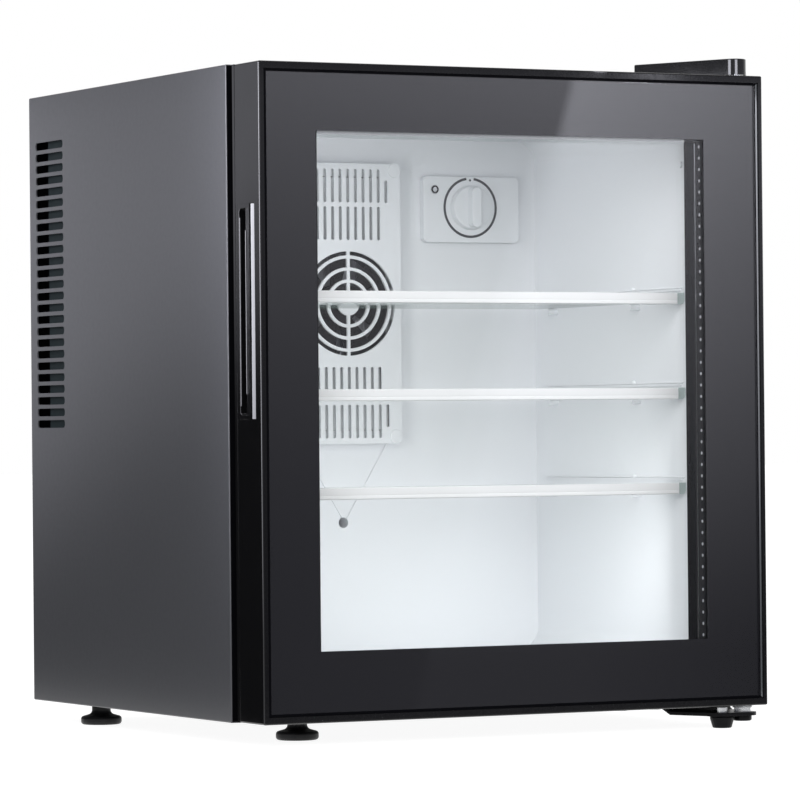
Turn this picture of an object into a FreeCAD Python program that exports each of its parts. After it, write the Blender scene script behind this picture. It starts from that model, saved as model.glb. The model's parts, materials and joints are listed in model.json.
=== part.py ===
import FreeCAD, Part
import math
import os
from types import SimpleNamespace

import Sketcher

# Minibar fridge with a glass door, in millimetres. +X is the viewer's right, the door faces -Y, +Z is up.
# The origin is on the floor, under the middle of the whole fridge.

SIZES = (
    # the whole fridge
    ("width", 400),
    ("depth", 398),
    ("foot_height", 15),
    ("cabinet_height", 452),
    ("door_gap", 1),
    ("gasket_gap", 10),
    # steel shell of the cabinet
    ("steel", 1),
    ("front_flange", 12),
    ("vent_count", 25),
    ("vent_pitch", 8.65),
    ("vent_length", 51),
    ("vent_height", 5.8),
    ("slot_end_share", 0.45),
    ("vent_rear_margin", 12.5),
    ("vent_top_drop", 37.5),
    # walls and the white liner
    ("side_wall", 34),
    ("ceiling_wall", 33),
    ("floor_wall", 33),
    ("liner_wall", 2),
    ("liner_radius", 16),
    ("rear_bay", 68),
    ("rib_size", 1.5),
    ("rib_front", 6),
    ("drain_gap", 59),
    ("drain_radius", 4),
    ("drain_wall", 2),
    ("groove_depth", 1),
    ("groove_width", 2),
    ("groove_reach", 37),
    # shelves
    ("shelf_count", 3),
    ("shelf_drop", 121.7),
    ("shelf_pitch", 68.6),
    ("shelf_play", 2.5),
    ("shelf_front", 4),
    ("shelf_back_gap", 3),
    ("glass_shelf", 4),
    ("trim_height", 8.3),
    ("trim_depth", 12),
    ("trim_base", 2),
    ("trim_end_gap", 5.3),
    ("peg_radius", 2.5),
    ("peg_reach", 8),
    ("peg_front", 67),
    ("peg_rear_inset", 18),
    # cold side, behind the fan cover
    ("fan_drop", 124.25),
    ("cover_width", 88),
    ("cover_height", 209.5),
    ("cover_depth", 12),
    ("cover_skin", 2),
    ("cover_radius", 5),
    ("grille_slots", 9),
    ("grille_pitch", 6.4),
    ("grille_slot_width", 2.6),
    ("grille_slot_height", 25),
    ("grille_short_height", 16.8),
    ("grille_rib", 3.1),
    ("grille_margin", 4.2),
    ("guard_radius", 39),
    ("guard_bar", 2.4),
    ("guard_step", 9),
    ("bay_width", 84),
    ("bay_height", 190),
    ("bay_depth", 32),
    ("cold_fan_width", 80),
    ("cold_fan_depth", 15),
    ("cold_sink_height", 184),
    ("sink_base", 4),
    ("cold_fins", 13),
    ("fin_thickness", 1.2),
    ("spacer_length", 20),
    ("module_width", 40),
    ("module_depth", 4),
    ("module_play", 0.5),
    ("fin_edge_share", 0.25),
    # hot side, in the rear bay
    ("hot_sink_width", 110),
    ("hot_sink_height", 130),
    ("hot_base", 6),
    ("hot_fins", 19),
    ("hot_fin_depth", 26),
    ("hot_fan_width", 92),
    ("hot_fan_depth", 25),
    ("fan_shaft", 1.5),
    ("fan_hub_share", 0.36),
    ("fan_blades", 7),
    ("fan_tip_gap", 1.5),
    ("blade_root_slant", 50),
    ("blade_tip_slant", 28),
    ("blade_chord_share", 0.62),
    ("blade_rise_share", 0.9),
    ("fan_skin", 2),
    ("running_fit", 0.06),
    ("louvre_count", 15),
    ("louvre_pitch", 9),
    ("louvre_width", 150),
    ("louvre_height", 4),
    ("supply_width", 90),
    ("supply_height", 60),
    ("supply_depth", 36),
    ("supply_side_gap", 50),
    ("supply_low", 40),
    ("supply_round", 2),
    ("tray_width", 120),
    ("tray_height", 22),
    ("tray_depth", 50),
    ("tray_skin", 2),
    ("gland_side_gap", 80),
    ("gland_height", 60),
    ("gland_radius", 7),
    ("gland_bore", 4),
    ("gland_flange", 3),
    ("gland_length", 12),
    # thermostat
    ("plate_cover_gap", 23),
    ("plate_side_gap", 17),
    ("plate_height", 50),
    ("plate_depth", 6),
    ("plate_radius", 4),
    ("plate_top_drop", 27.5),
    ("plate_screw_inset", 10),
    ("switch_screw_gap", 15),
    ("dial_drop", 23.5),
    ("knob_radius", 17),
    ("knob_depth", 11),
    ("knob_grip", 8),
    ("knob_grip_share", 1.76),
    ("knob_disc_share", 0.4),
    ("knob_taper_share", 0.94),
    ("dial_shaft", 3),
    ("dial_shaft_reach", 8),
    ("switch_width", 30),
    ("switch_depth", 20),
    # lamp
    ("lamp_width", 110),
    ("lamp_depth", 20),
    ("lamp_height", 6),
    ("lamp_front", 8),
    ("lamp_skin", 1.5),
    ("board_thickness", 2),
    ("button_radius", 2.5),
    ("button_reach", 1.5),
    ("button_length", 9.5),
    ("button_front", 5),
    ("button_drop", 29),
    # small screws
    ("screw_radius", 1.5),
    ("screw_head", 3.2),
    ("screw_head_depth", 1.4),
    ("screw_length", 12),
    ("bolt_radius", 2.5),
    ("bolt_head", 4.5),
    ("bolt_head_depth", 2.2),
    ("bolt_length", 11),
    ("screw_play", 0.15),
    # feet
    ("foot_radius", 15),
    ("foot_rim", 3),
    ("foot_neck", 7),
    ("foot_flare", 9),
    ("foot_blend", 2),
    ("stud_radius", 4),
    ("stud_length", 14),
    ("nut_width", 13),
    ("nut_depth", 6),
    ("nut_pocket_radius", 8.5),
    ("front_foot_inset", 62),
    ("front_foot_y", 24),
    ("rear_foot_inset", 20),
    ("rear_foot_y", 80),
    # hinges
    ("pin_inset", 13),
    ("pin_setback", 14),
    ("pin_radius", 3),
    ("pin_reach", 12),
    ("pin_head", 5),
    ("pin_head_depth", 2.5),
    ("hinge_plate", 2.5),
    ("hinge_seat", 30),
    ("hinge_seat_width", 54),
    ("hinge_bolt_pitch", 13),
    ("cover_rise", 11.5),
    ("cover_wall", 2),
    ("cover_end", 9.5),
    ("bracket_drop", 4),
    ("bracket_seat", 45),
    ("bracket_seat_width", 78),
    ("bracket_bolt_pitch", 28),
    ("bracket_bolt_inset", 15),
    ("bracket_end", 10),
    ("bracket_fold", 2),
    ("bracket_fold_run", 6),
    ("bracket_lip", 2.5),
    ("bracket_lip_reach", 42),
    ("bracket_lip_flat", 9),
    ("bracket_lip_bend", 14),
    ("bracket_lip_step", 0.5),
    ("hinge_foot_x", 30),
    ("hinge_foot_top", 10),
    ("hinge_foot_base", 8),
    ("hinge_foot_height", 8.2),
    ("hinge_stud_top", 14.5),
    ("collar_width", 11.5),
    ("collar_depth", 3),
    ("cap_nut_radius", 6.75),
    ("cap_nut_depth", 4),
    # door
    ("door_thickness", 42),
    ("lip_side", 3.5),
    ("lip_end", 5),
    ("lip_depth", 0.5),
    ("front_glass", 6),
    ("print_layer", 0.4),
    ("rear_glass", 4),
    ("glass_play", 0.3),
    ("border", 47),
    ("spacer_width", 9.7),
    ("spacer_depth", 12.1),
    ("dot_pitch", 8),
    ("dot_radius", 0.8),
    ("dot_depth", 1.2),
    ("frame_wall", 3),
    ("frame_corner", 33),
    ("retainer", 3),
    ("retainer_lip", 3),
    ("gasket_outset", 14),
    ("gasket_width", 16),
    ("gasket_base", 3),
    ("gasket_neck", 6),
    ("gasket_magnet", 12),
    ("gasket_magnet_depth", 4),
    ("gasket_seat_gap", 0.2),
    ("dart_width", 4),
    ("dart_depth", 1.5),
    ("handle_low", 207),
    ("handle_height", 147),
    ("handle_front", 9),
    ("handle_width", 26),
    ("handle_depth", 18),
    ("handle_bar", 8),
    ("handle_skin", 2),
    ("handle_end", 3),
    ("bush_wall", 2),
    ("bush_flange", 2),
    ("bearing_play", 0.1),
    # one overrun serves every cut
    ("overrun", 1),
)

document = FreeCAD.newDocument("minibar_fridge")
sheet = document.addObject("Spreadsheet::Sheet", "Sizes")
for row, (alias, cell_value) in enumerate(SIZES, 1):
    sheet.set(f"A{row}", alias)
    sheet.set(f"B{row}", str(cell_value))
    sheet.setAlias(f"B{row}", alias)
document.recompute()


class Length:
    """A length that knows its formula over the sheet's cells and its present value."""

    def __init__(self, formula, value):
        self.formula = formula
        self.value = value

    def __float__(self):
        return float(self.value)

    def __str__(self):
        return self.formula

    def __neg__(self):
        return Length(f"(0 - {self})", -self.value)

    def __add__(self, other):
        return Length(f"({self} + {other})", self.value + float(other))

    def __radd__(self, other):
        return Length(f"({other} + {self})", float(other) + self.value)

    def __sub__(self, other):
        return Length(f"({self} - {other})", self.value - float(other))

    def __rsub__(self, other):
        return Length(f"({other} - {self})", float(other) - self.value)

    def __mul__(self, other):
        return Length(f"({self} * {other})", self.value * float(other))

    def __rmul__(self, other):
        return Length(f"({other} * {self})", float(other) * self.value)

    def __truediv__(self, other):
        return Length(f"({self} / {other})", self.value / float(other))


at = SimpleNamespace(
    **{alias: Length(f"Sizes.{alias}", float(sheet.get(alias))) for alias, _ in SIZES}
)

# Planes and lines that several pieces share
SIDE = at.width / 2
FRONT = -at.depth / 2
BACK = at.depth / 2
CABINET_LOW = at.foot_height
CABINET_TOP = at.foot_height + at.cabinet_height
DOOR_LOW = CABINET_LOW + at.door_gap
DOOR_TOP = CABINET_TOP - at.door_gap
DOOR_BACK = FRONT + at.door_thickness
CABINET_FRONT = DOOR_BACK + at.gasket_gap
LINER_SIDE = SIDE - at.side_wall
LINER_LOW = CABINET_LOW + at.floor_wall
LINER_TOP = CABINET_TOP - at.ceiling_wall
FOAM_BACK = BACK - at.rear_bay
BAY_PANEL_BACK = FOAM_BACK + at.steel
BAY_BACK = BAY_PANEL_BACK - at.module_depth - at.spacer_length
LINER_BACK = BAY_BACK - at.bay_depth
FAN_Z = LINER_TOP - at.fan_drop
DRAIN_Z = FAN_Z - at.cover_height / 2 - at.drain_gap
COVER_FRONT = LINER_BACK - at.cover_depth
PLATE_FRONT = LINER_BACK - at.plate_depth
PLATE_TOP = LINER_TOP - at.plate_top_drop
PLATE_LEFT = at.cover_width / 2 + at.plate_cover_gap
PLATE_WIDTH = LINER_SIDE - at.plate_side_gap - PLATE_LEFT
DIAL_X = PLATE_LEFT + at.plate_screw_inset + at.switch_screw_gap + at.switch_width / 2
DIAL_Z = PLATE_TOP - at.dial_drop
SHELF_FRONT = CABINET_FRONT + at.shelf_front
SHELF_BACK = COVER_FRONT - at.shelf_back_gap
GLAND_X = SIDE - at.gland_side_gap
PIN_X = SIDE - at.pin_inset
PIN_Y = FRONT + at.pin_setback
FEET = {
    "front_left_foot": (at.front_foot_inset - SIDE, CABINET_FRONT + at.front_foot_y),
    "rear_left_foot": (at.rear_foot_inset - SIDE, BACK - at.rear_foot_y),
    "rear_right_foot": (SIDE - at.rear_foot_inset, BACK - at.rear_foot_y),
}

TURNS = {
    "x": FreeCAD.Rotation(FreeCAD.Vector(0, 1, 0), 90),
    "y": FreeCAD.Rotation(FreeCAD.Vector(1, 0, 0), -90),
    "z": FreeCAD.Rotation(),
}
# A drawing plane: the turn that lays a sketch in it, and where its two directions and its normal point
PLANES = {
    "plan": FreeCAD.Rotation(),
    "front": FreeCAD.Rotation(FreeCAD.Vector(1, 0, 0), 90),
    "side": FreeCAD.Rotation(FreeCAD.Vector(1, 1, 1), 120),
}
ROLES = {"plan": "XY_Plane", "front": "XZ_Plane", "side": "YZ_Plane"}
PARTS = []


def part(label, thing):
    """Keeps a finished piece under the name of its node."""
    thing.Label = label
    PARTS.append(thing)
    return thing


def place(thing, x, y, z, turn=None):
    """Binds a thing's place to three lengths."""
    if turn is not None:
        thing.Placement.Rotation = turn
    for axis, length in zip("xyz", (x, y, z)):
        thing.setExpression(f"Placement.Base.{axis}", str(length))
    return thing


def block(name, x, y, z):
    """A box between three pairs of lengths."""
    box = document.addObject("Part::Box", name)
    for side, (low, high) in zip(("Length", "Width", "Height"), (x, y, z)):
        box.setExpression(side, str(high - low))
    return place(box, x[0], y[0], z[0])


def place_along(thing, axis, centre, low, turn):
    """Stands a thing on low along an axis, at a centre given in the other two directions."""
    spot = list(centre)
    spot.insert("xyz".index(axis), low)
    return place(thing, *spot, turn)


def rod(name, axis, centre, radius, low, high):
    """A cylinder along an axis, from low to high."""
    cylinder = document.addObject("Part::Cylinder", name)
    cylinder.setExpression("Radius", str(radius))
    cylinder.setExpression("Height", str(high - low))
    return place_along(cylinder, axis, centre, low, TURNS[axis])


def cone(name, axis, centre, low_radius, high_radius, low, high):
    """A cone cut off at both ends, along an axis."""
    solid = document.addObject("Part::Cone", name)
    solid.setExpression("Radius1", str(low_radius))
    solid.setExpression("Radius2", str(high_radius))
    solid.setExpression("Height", str(high - low))
    return place_along(solid, axis, centre, low, TURNS[axis])


def fuse(name, *pieces):
    """One shape out of several pieces, which may lie apart."""
    if len(pieces) == 1:
        return pieces[0]
    whole = document.addObject("Part::MultiFuse", name)
    whole.Shapes = list(pieces)
    return whole


def cut(name, base, *tools):
    """A base less its tools."""
    rest = document.addObject("Part::Cut", name)
    rest.Base = base
    rest.Tool = fuse(name + "_tools", *tools)
    return rest


def common(name, base, tool):
    """What two shapes share."""
    shared = document.addObject("Part::MultiCommon", name)
    shared.Shapes = [base, tool]
    return shared


def pin_down(sketch, geometry, point, x, y):
    """Holds a point of a sketch at two lengths from its origin."""
    for kind, axis, length in (("DistanceX", -2, x), ("DistanceY", -1, y)):
        if float(length) == 0:
            sketch.addConstraint(Sketcher.Constraint("PointOnObject", geometry, point, axis))
            continue
        number = sketch.addConstraint(
            Sketcher.Constraint(kind, -1, 1, geometry, point, float(length))
        )
        sketch.setExpression(f"Constraints[{number}]", str(length))


def sized(sketch, kind, *where, length):
    """Adds a constraint whose value follows a length."""
    number = sketch.addConstraint(Sketcher.Constraint(kind, *where, float(length)))
    sketch.setExpression(f"Constraints[{number}]", str(length))


def polygon(*corners):
    """Draws a closed outline through corners."""

    def draw(sketch):
        spots = [FreeCAD.Vector(float(x), float(y), 0) for x, y in corners]
        lines = [
            sketch.addGeometry(Part.LineSegment(spot, spots[(i + 1) % len(spots)]))
            for i, spot in enumerate(spots)
        ]
        for i, line in enumerate(lines):
            following = lines[(i + 1) % len(lines)]
            sketch.addConstraint(Sketcher.Constraint("Coincident", line, 2, following, 1))
            pin_down(sketch, line, 1, *corners[i])

    return draw


def circle(radius):
    """Draws a circle about the sketch's origin."""

    def draw(sketch):
        ring = sketch.addGeometry(
            Part.Circle(FreeCAD.Vector(), FreeCAD.Vector(0, 0, 1), float(radius))
        )
        sketch.addConstraint(Sketcher.Constraint("Coincident", ring, 3, -1, 1))
        sized(sketch, "Radius", ring, length=radius)

    return draw


def regular(sides, across):
    """Draws a regular outline about the origin, as wide across its flats as a spanner."""

    def draw(sketch):
        corner = across / 2 / math.cos(math.pi / sides)
        turn = 2 * math.pi / sides
        polygon(
            *((corner * math.cos(turn * i), corner * math.sin(turn * i)) for i in range(sides))
        )(sketch)

    return draw


def rounded(width, height, radius):
    """Draws a rectangle with round corners about the sketch's origin."""

    def draw(sketch):
        half_x = float(width) / 2
        half_y = float(height) / 2
        r = float(radius)
        corners = ((1, -1), (1, 1), (-1, 1), (-1, -1))
        arcs = []
        for i, (x, y) in enumerate(corners):
            centre = FreeCAD.Vector(x * (half_x - r), y * (half_y - r), 0)
            ring = Part.Circle(centre, FreeCAD.Vector(0, 0, 1), r)
            start = (i - 1) * math.pi / 2
            arcs.append(sketch.addGeometry(Part.ArcOfCircle(ring, start, start + math.pi / 2)))
        sides = []
        for i, arc in enumerate(arcs):
            line = Part.LineSegment(
                sketch.getPoint(arc, 2), sketch.getPoint(arcs[(i + 1) % 4], 1)
            )
            sides.append(sketch.addGeometry(line))
        for i, side in enumerate(sides):
            sketch.addConstraint(Sketcher.Constraint("Tangent", arcs[i], 2, side, 1))
            sketch.addConstraint(Sketcher.Constraint("Tangent", side, 2, arcs[(i + 1) % 4], 1))
            upright = "Vertical" if i % 2 == 0 else "Horizontal"
            sketch.addConstraint(Sketcher.Constraint(upright, side))
        for arc in arcs[1:]:
            sketch.addConstraint(Sketcher.Constraint("Equal", arcs[0], arc))
        sketch.addConstraint(Sketcher.Constraint("Symmetric", arcs[0], 3, arcs[2], 3, -1, 1))
        sized(sketch, "Radius", arcs[0], length=radius)
        sized(sketch, "DistanceX", sides[2], 1, sides[0], 1, length=width)
        sized(sketch, "DistanceY", sides[3], 1, sides[1], 1, length=height)

    return draw


def teardrop(end_radius, left, right, rear):
    """Draws a hinge plate seen from above: a round end about the origin, a straight right edge and a
    left edge that runs from the round end to the rear left corner."""

    def draw(sketch):
        corner = FreeCAD.Vector(float(left), float(rear), 0)
        r = float(end_radius)
        touch = math.atan2(corner.y, corner.x) + math.acos(r / corner.Length)
        ring = Part.Circle(FreeCAD.Vector(), FreeCAD.Vector(0, 0, 1), r)
        end = sketch.addGeometry(Part.ArcOfCircle(ring, touch, 2 * math.pi))
        spots = (
            FreeCAD.Vector(r, 0, 0),
            FreeCAD.Vector(float(right), float(rear), 0),
            corner,
            FreeCAD.Vector(r * math.cos(touch), r * math.sin(touch), 0),
        )
        edges = [
            sketch.addGeometry(Part.LineSegment(spots[i], spots[i + 1])) for i in range(3)
        ]
        sketch.addConstraint(Sketcher.Constraint("Coincident", end, 3, -1, 1))
        sized(sketch, "Radius", end, length=end_radius)
        sketch.addConstraint(Sketcher.Constraint("Coincident", end, 2, edges[0], 1))
        sketch.addConstraint(Sketcher.Constraint("PointOnObject", end, 2, -1))
        sketch.addConstraint(Sketcher.Constraint("Coincident", edges[0], 2, edges[1], 1))
        sketch.addConstraint(Sketcher.Constraint("Coincident", edges[1], 2, edges[2], 1))
        sketch.addConstraint(Sketcher.Constraint("Tangent", edges[2], 2, end, 1))
        pin_down(sketch, edges[0], 2, right, rear)
        pin_down(sketch, edges[1], 2, left, rear)

    return draw


def prism(name, plane, spot, low, high, draw):
    """A drawing in a plane, its origin at spot, drawn out from low to high."""
    sketch = document.addObject("Sketcher::SketchObject", name + "_outline")
    draw(sketch)
    axis = {"plan": "z", "front": "y", "side": "x"}[plane]
    start = high if plane == "front" else low
    place_along(sketch, axis, spot, start, PLANES[plane])
    solid = document.addObject("Part::Extrusion", name)
    solid.Base = sketch
    solid.DirMode = "Normal"
    solid.Solid = True
    solid.setExpression("LengthFwd", str(high - low))
    return solid


def frame_block(name, half_width, low, high, y):
    """A box that is centred across the fridge, from low to high and between two depths."""
    return block(name, (-half_width, half_width), y, (low, high))


def ring(name, outer_inset, width, y):
    """A rectangular ring that follows the door's outline from an inset, a width across."""
    inner_inset = outer_inset + width
    outer = frame_block(
        name + "_outer", SIDE - outer_inset, DOOR_LOW + outer_inset, DOOR_TOP - outer_inset, y
    )
    through = (y[0] - at.overrun, y[1] + at.overrun)
    inner = frame_block(
        name + "_inner", SIDE - inner_inset, DOOR_LOW + inner_inset, DOOR_TOP - inner_inset, through
    )
    return cut(name, outer, inner)


def new_body(name):
    return document.addObject("PartDesign::Body", name)


def body_sketch(body, name, plane, across, up, out, draw):
    """A sketch on one of the body's own origin planes, shifted across, up and out of the plane."""
    sketch = body.newObject("Sketcher::SketchObject", name)
    origin_planes = body.Origin.OriginFeatures
    support = next(item for item in origin_planes if item.Role == ROLES[plane])
    sketch.AttachmentSupport = (support, [""])
    sketch.MapMode = "FlatFace"
    depth = -out if plane == "front" else out
    for axis, length in zip("xyz", (across, up, depth)):
        sketch.setExpression(f"AttachmentOffset.Base.{axis}", str(length))
    draw(sketch)
    return sketch


def pad(body, sketch, length, backwards=False):
    """Material drawn out along the sketch's normal, or backwards along it."""
    feature = body.newObject("PartDesign::Pad", sketch.Name + "_pad")
    feature.Profile = sketch
    feature.setExpression("Length", str(length))
    feature.Reversed = backwards
    sketch.Visibility = False
    return feature


def pocket(body, sketch, length, backwards=False, both=False):
    """Material taken out against the sketch's normal, backwards along it, or both ways."""
    feature = body.newObject("PartDesign::Pocket", sketch.Name + "_pocket")
    feature.Profile = sketch
    feature.setExpression("Length", str(length))
    feature.Reversed = backwards
    feature.Midplane = both
    return feature


def row_of(body, feature, sketch, direction, pitch, count, backwards=False):
    """Repeats a feature in a row along one of its sketch's two directions."""
    document.recompute()
    pattern = body.newObject("PartDesign::LinearPattern", feature.Name + "_row")
    pattern.Originals = [feature]
    pattern.Direction = (sketch, [direction])
    pattern.Reversed = backwards
    pattern.setExpression("Length", str(pitch * (count - 1)))
    pattern.setExpression("Occurrences", str(count))
    body.Tip = pattern
    return pattern


def hinge_bolt_places():
    """The three bolts of the top hinge, from the pin."""
    rear = CABINET_FRONT + at.hinge_seat / 2
    right = PIN_X + at.cover_end - 2 * at.cover_wall - at.bolt_head
    return [(right - at.hinge_bolt_pitch * number, rear) for number in range(3)]


def bracket_bolt_places():
    """The three bolts of the bottom hinge bracket."""
    rear = CABINET_FRONT + at.bracket_seat - at.bracket_bolt_inset
    right = PIN_X - at.bolt_head
    return [(right - at.bracket_bolt_pitch * number, rear) for number in range(3)]


def cover_screw_places():
    """The screws of the fan cover and of the thermostat plate, in X and Z."""
    side = at.cover_width / 2 - at.cover_radius
    rise = at.cover_height / 2 - at.cover_radius
    corners = [(x * side, FAN_Z + z * rise) for x in (-1, 1) for z in (-1, 1)]
    plate_screw = (PLATE_LEFT + at.plate_screw_inset, PLATE_TOP - at.plate_screw_inset)
    return corners + [plate_screw]


def rods(name, axis, places, radius, low, high):
    """The same cylinder at several places."""
    return [
        rod(f"{name}_{i}", axis, spot, radius, low, high) for i, spot in enumerate(places, 1)
    ]


def outer_wrapper():
    """The painted sheet that makes both sides and the top, with the vents of the rear bay."""
    body = new_body("wrapper_body")
    top = at.cabinet_height
    inner = SIDE - at.steel
    opening = SIDE - at.front_flange
    sheet_outline = polygon(
        (-SIDE, 0), (-SIDE, top), (SIDE, top), (SIDE, 0),
        (inner, 0), (inner, top - at.steel), (-inner, top - at.steel), (-inner, 0),
    )
    flange_outline = polygon(
        (-inner, 0), (-inner, top - at.steel), (inner, top - at.steel), (inner, 0),
        (opening, 0), (opening, top - at.front_flange), (-opening, top - at.front_flange), (-opening, 0),
    )
    profile = body_sketch(body, "wrapper_sheet", "front", 0, CABINET_LOW, CABINET_FRONT, sheet_outline)
    pad(body, profile, BACK - CABINET_FRONT, backwards=True)
    flange = body_sketch(body, "wrapper_flange", "front", 0, CABINET_LOW, CABINET_FRONT, flange_outline)
    pad(body, flange, at.steel, backwards=True)
    for i, (x, y) in enumerate(hinge_bolt_places(), 1):
        hole = body_sketch(
            body, f"wrapper_hole_{i}", "plan", x, y, CABINET_TOP, circle(at.bolt_radius + at.screw_play)
        )
        pocket(body, hole, 2 * at.steel)
    vent = body_sketch(
        body,
        "wrapper_vent",
        "side",
        BACK - at.vent_rear_margin - at.vent_length / 2,
        CABINET_TOP - at.vent_top_drop,
        0,
        rounded(at.vent_length, at.vent_height, at.vent_height * at.slot_end_share),
    )
    vents = pocket(body, vent, at.width + 2 * at.overrun, both=True)
    row_of(body, vents, vent, "V_Axis", at.vent_pitch, at.vent_count, backwards=True)
    return part("outer_wrapper", body)


def bottom_panel():
    """The floor sheet with its upturned front edge."""
    inner = SIDE - at.steel
    sheet_low = (CABINET_LOW, CABINET_LOW + at.steel)
    floor = block("floor_sheet", (-inner, inner), (CABINET_FRONT + at.steel, BACK - at.steel), sheet_low)
    opening = SIDE - at.front_flange
    edge = block(
        "floor_edge",
        (-opening, opening),
        (CABINET_FRONT, CABINET_FRONT + at.steel),
        (CABINET_LOW, CABINET_LOW + at.front_flange),
    )
    through = (CABINET_LOW - at.overrun, CABINET_LOW + at.steel + at.overrun)
    stud_hole = at.stud_radius + at.screw_play
    holes = rods("floor_stud_hole", "z", FEET.values(), stud_hole, *through)
    bolt_hole = at.bolt_radius + at.screw_play
    holes += rods("floor_bolt_hole", "z", bracket_bolt_places(), bolt_hole, *through)
    return part("bottom_panel", cut("floor_cut", fuse("floor_whole", floor, edge), *holes))


def rear_panel():
    """The back sheet with its louvres, and the hole for the cord gland."""
    body = new_body("rear_body")
    inner = SIDE - at.steel
    height = at.cabinet_height - 2 * at.steel
    middle = CABINET_LOW + at.cabinet_height / 2
    outline = rounded(2 * inner, height, at.steel)
    panel = body_sketch(body, "rear_sheet", "front", 0, middle, BACK, outline)
    pad(body, panel, at.steel)
    hole = body_sketch(
        body, "rear_gland_hole", "front", GLAND_X, CABINET_LOW + at.gland_height, BACK,
        circle(at.gland_radius + at.screw_play),
    )
    pocket(body, hole, at.steel + at.overrun, backwards=True)
    low_louvre = FAN_Z - at.louvre_pitch * (at.louvre_count - 1) / 2
    louvre = body_sketch(
        body, "rear_louvre", "front", 0, low_louvre, BACK,
        rounded(at.louvre_width, at.louvre_height, at.louvre_height * at.slot_end_share),
    )
    louvres = pocket(body, louvre, at.steel + at.overrun, backwards=True)
    row_of(body, louvres, louvre, "V_Axis", at.louvre_pitch, at.louvre_count)
    return part("rear_panel", body)


def tub(name, wall, front, back):
    """The liner's round-cornered tub, grown by a wall."""
    return prism(
        name,
        "front",
        (0, (LINER_LOW + LINER_TOP) / 2),
        front,
        back,
        rounded(2 * (LINER_SIDE + wall), LINER_TOP - LINER_LOW + 2 * wall, at.liner_radius + wall),
    )


def bay(name, wall, front, back):
    """The pocket for the cold sink and its fan, grown by a wall."""
    return prism(
        name,
        "front",
        (0, FAN_Z),
        front,
        back,
        rounded(at.bay_width + 2 * wall, at.bay_height + 2 * wall, at.liner_wall + wall),
    )


def module_tunnel(name, front, back):
    """The square way through the wall for the spacer block and the cooling module."""
    half = at.module_width / 2 + at.module_play
    return block(name, (-half, half), (front, back), (FAN_Z - half, FAN_Z + half))


def shelf_top(number):
    """The upper face of the trim of a shelf, counted from the top one."""
    return LINER_TOP - at.shelf_drop - at.shelf_pitch * number


def inner_liner():
    """The white moulded lining with its front flange, shelf ribs, cold pocket and drain grooves."""
    flange_half = SIDE - at.front_flange
    flange = frame_block(
        "liner_flange",
        flange_half,
        CABINET_LOW + at.front_flange,
        CABINET_TOP - at.front_flange,
        (CABINET_FRONT, CABINET_FRONT + at.liner_wall),
    )
    wall_back = LINER_BACK + at.liner_wall
    outside = [
        flange,
        tub("liner_tub", at.liner_wall, CABINET_FRONT, wall_back),
        bay("liner_bay", at.liner_wall, LINER_BACK, BAY_BACK + at.liner_wall),
    ]
    holes = [
        tub("liner_inside", 0, CABINET_FRONT - at.overrun, LINER_BACK),
        bay("liner_bay_inside", 0, LINER_BACK - at.overrun, BAY_BACK),
        module_tunnel("liner_window", BAY_BACK - at.overrun, BAY_BACK + at.liner_wall + at.overrun),
        rod(
            "liner_drain", "y", (0, DRAIN_Z), at.drain_radius,
            LINER_BACK - at.overrun, wall_back + at.overrun,
        ),
        rod(
            "liner_shaft_hole", "y", (DIAL_X, DIAL_Z), at.dial_shaft + at.screw_play,
            LINER_BACK - at.overrun, wall_back + at.overrun,
        ),
        rod(
            "liner_button_hole", "x", (CABINET_FRONT + at.button_front, LINER_TOP - at.button_drop),
            at.button_radius, LINER_SIDE - at.overrun, LINER_SIDE + at.liner_wall + at.overrun,
        ),
    ]
    holes += rods(
        "liner_screw_hole", "y", cover_screw_places(), at.screw_radius + at.screw_play,
        LINER_BACK - at.overrun, wall_back + at.overrun,
    )
    holes += drain_grooves()
    shell = cut("liner_shell", fuse("liner_outside", *outside), *holes)
    ribs = []
    for number in range(int(float(at.shelf_count))):
        for side in (-1, 1):
            low = shelf_top(number) + at.rib_size
            edge = (side * (LINER_SIDE - at.rib_size), side * LINER_SIDE)
            across = edge if side > 0 else edge[::-1]
            ribs.append(
                block(
                    f"liner_rib_{number}_{'right' if side > 0 else 'left'}",
                    across,
                    (CABINET_FRONT + at.rib_front, SHELF_BACK),
                    (low, low + at.rib_size),
                )
            )
    return part("inner_liner", fuse("liner_whole", shell, *ribs))


def drain_grooves():
    """Two shallow grooves that lead from under the fan cover to the drain hole."""
    top = FAN_Z - at.cover_height / 2
    drain = DRAIN_Z
    reach = at.groove_reach
    grooves = []
    for side in (-1, 1):
        outline = polygon(
            (side * reach, top - drain),
            (side * (reach - at.groove_width), top - drain),
            (-side * at.groove_width / 2, 0),
            (side * at.groove_width / 2, 0),
        )
        grooves.append(
            prism(
                f"liner_groove_{'right' if side > 0 else 'left'}", "front", (0, drain),
                LINER_BACK - at.overrun, LINER_BACK + at.groove_depth, outline,
            )
        )
    return grooves


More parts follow.
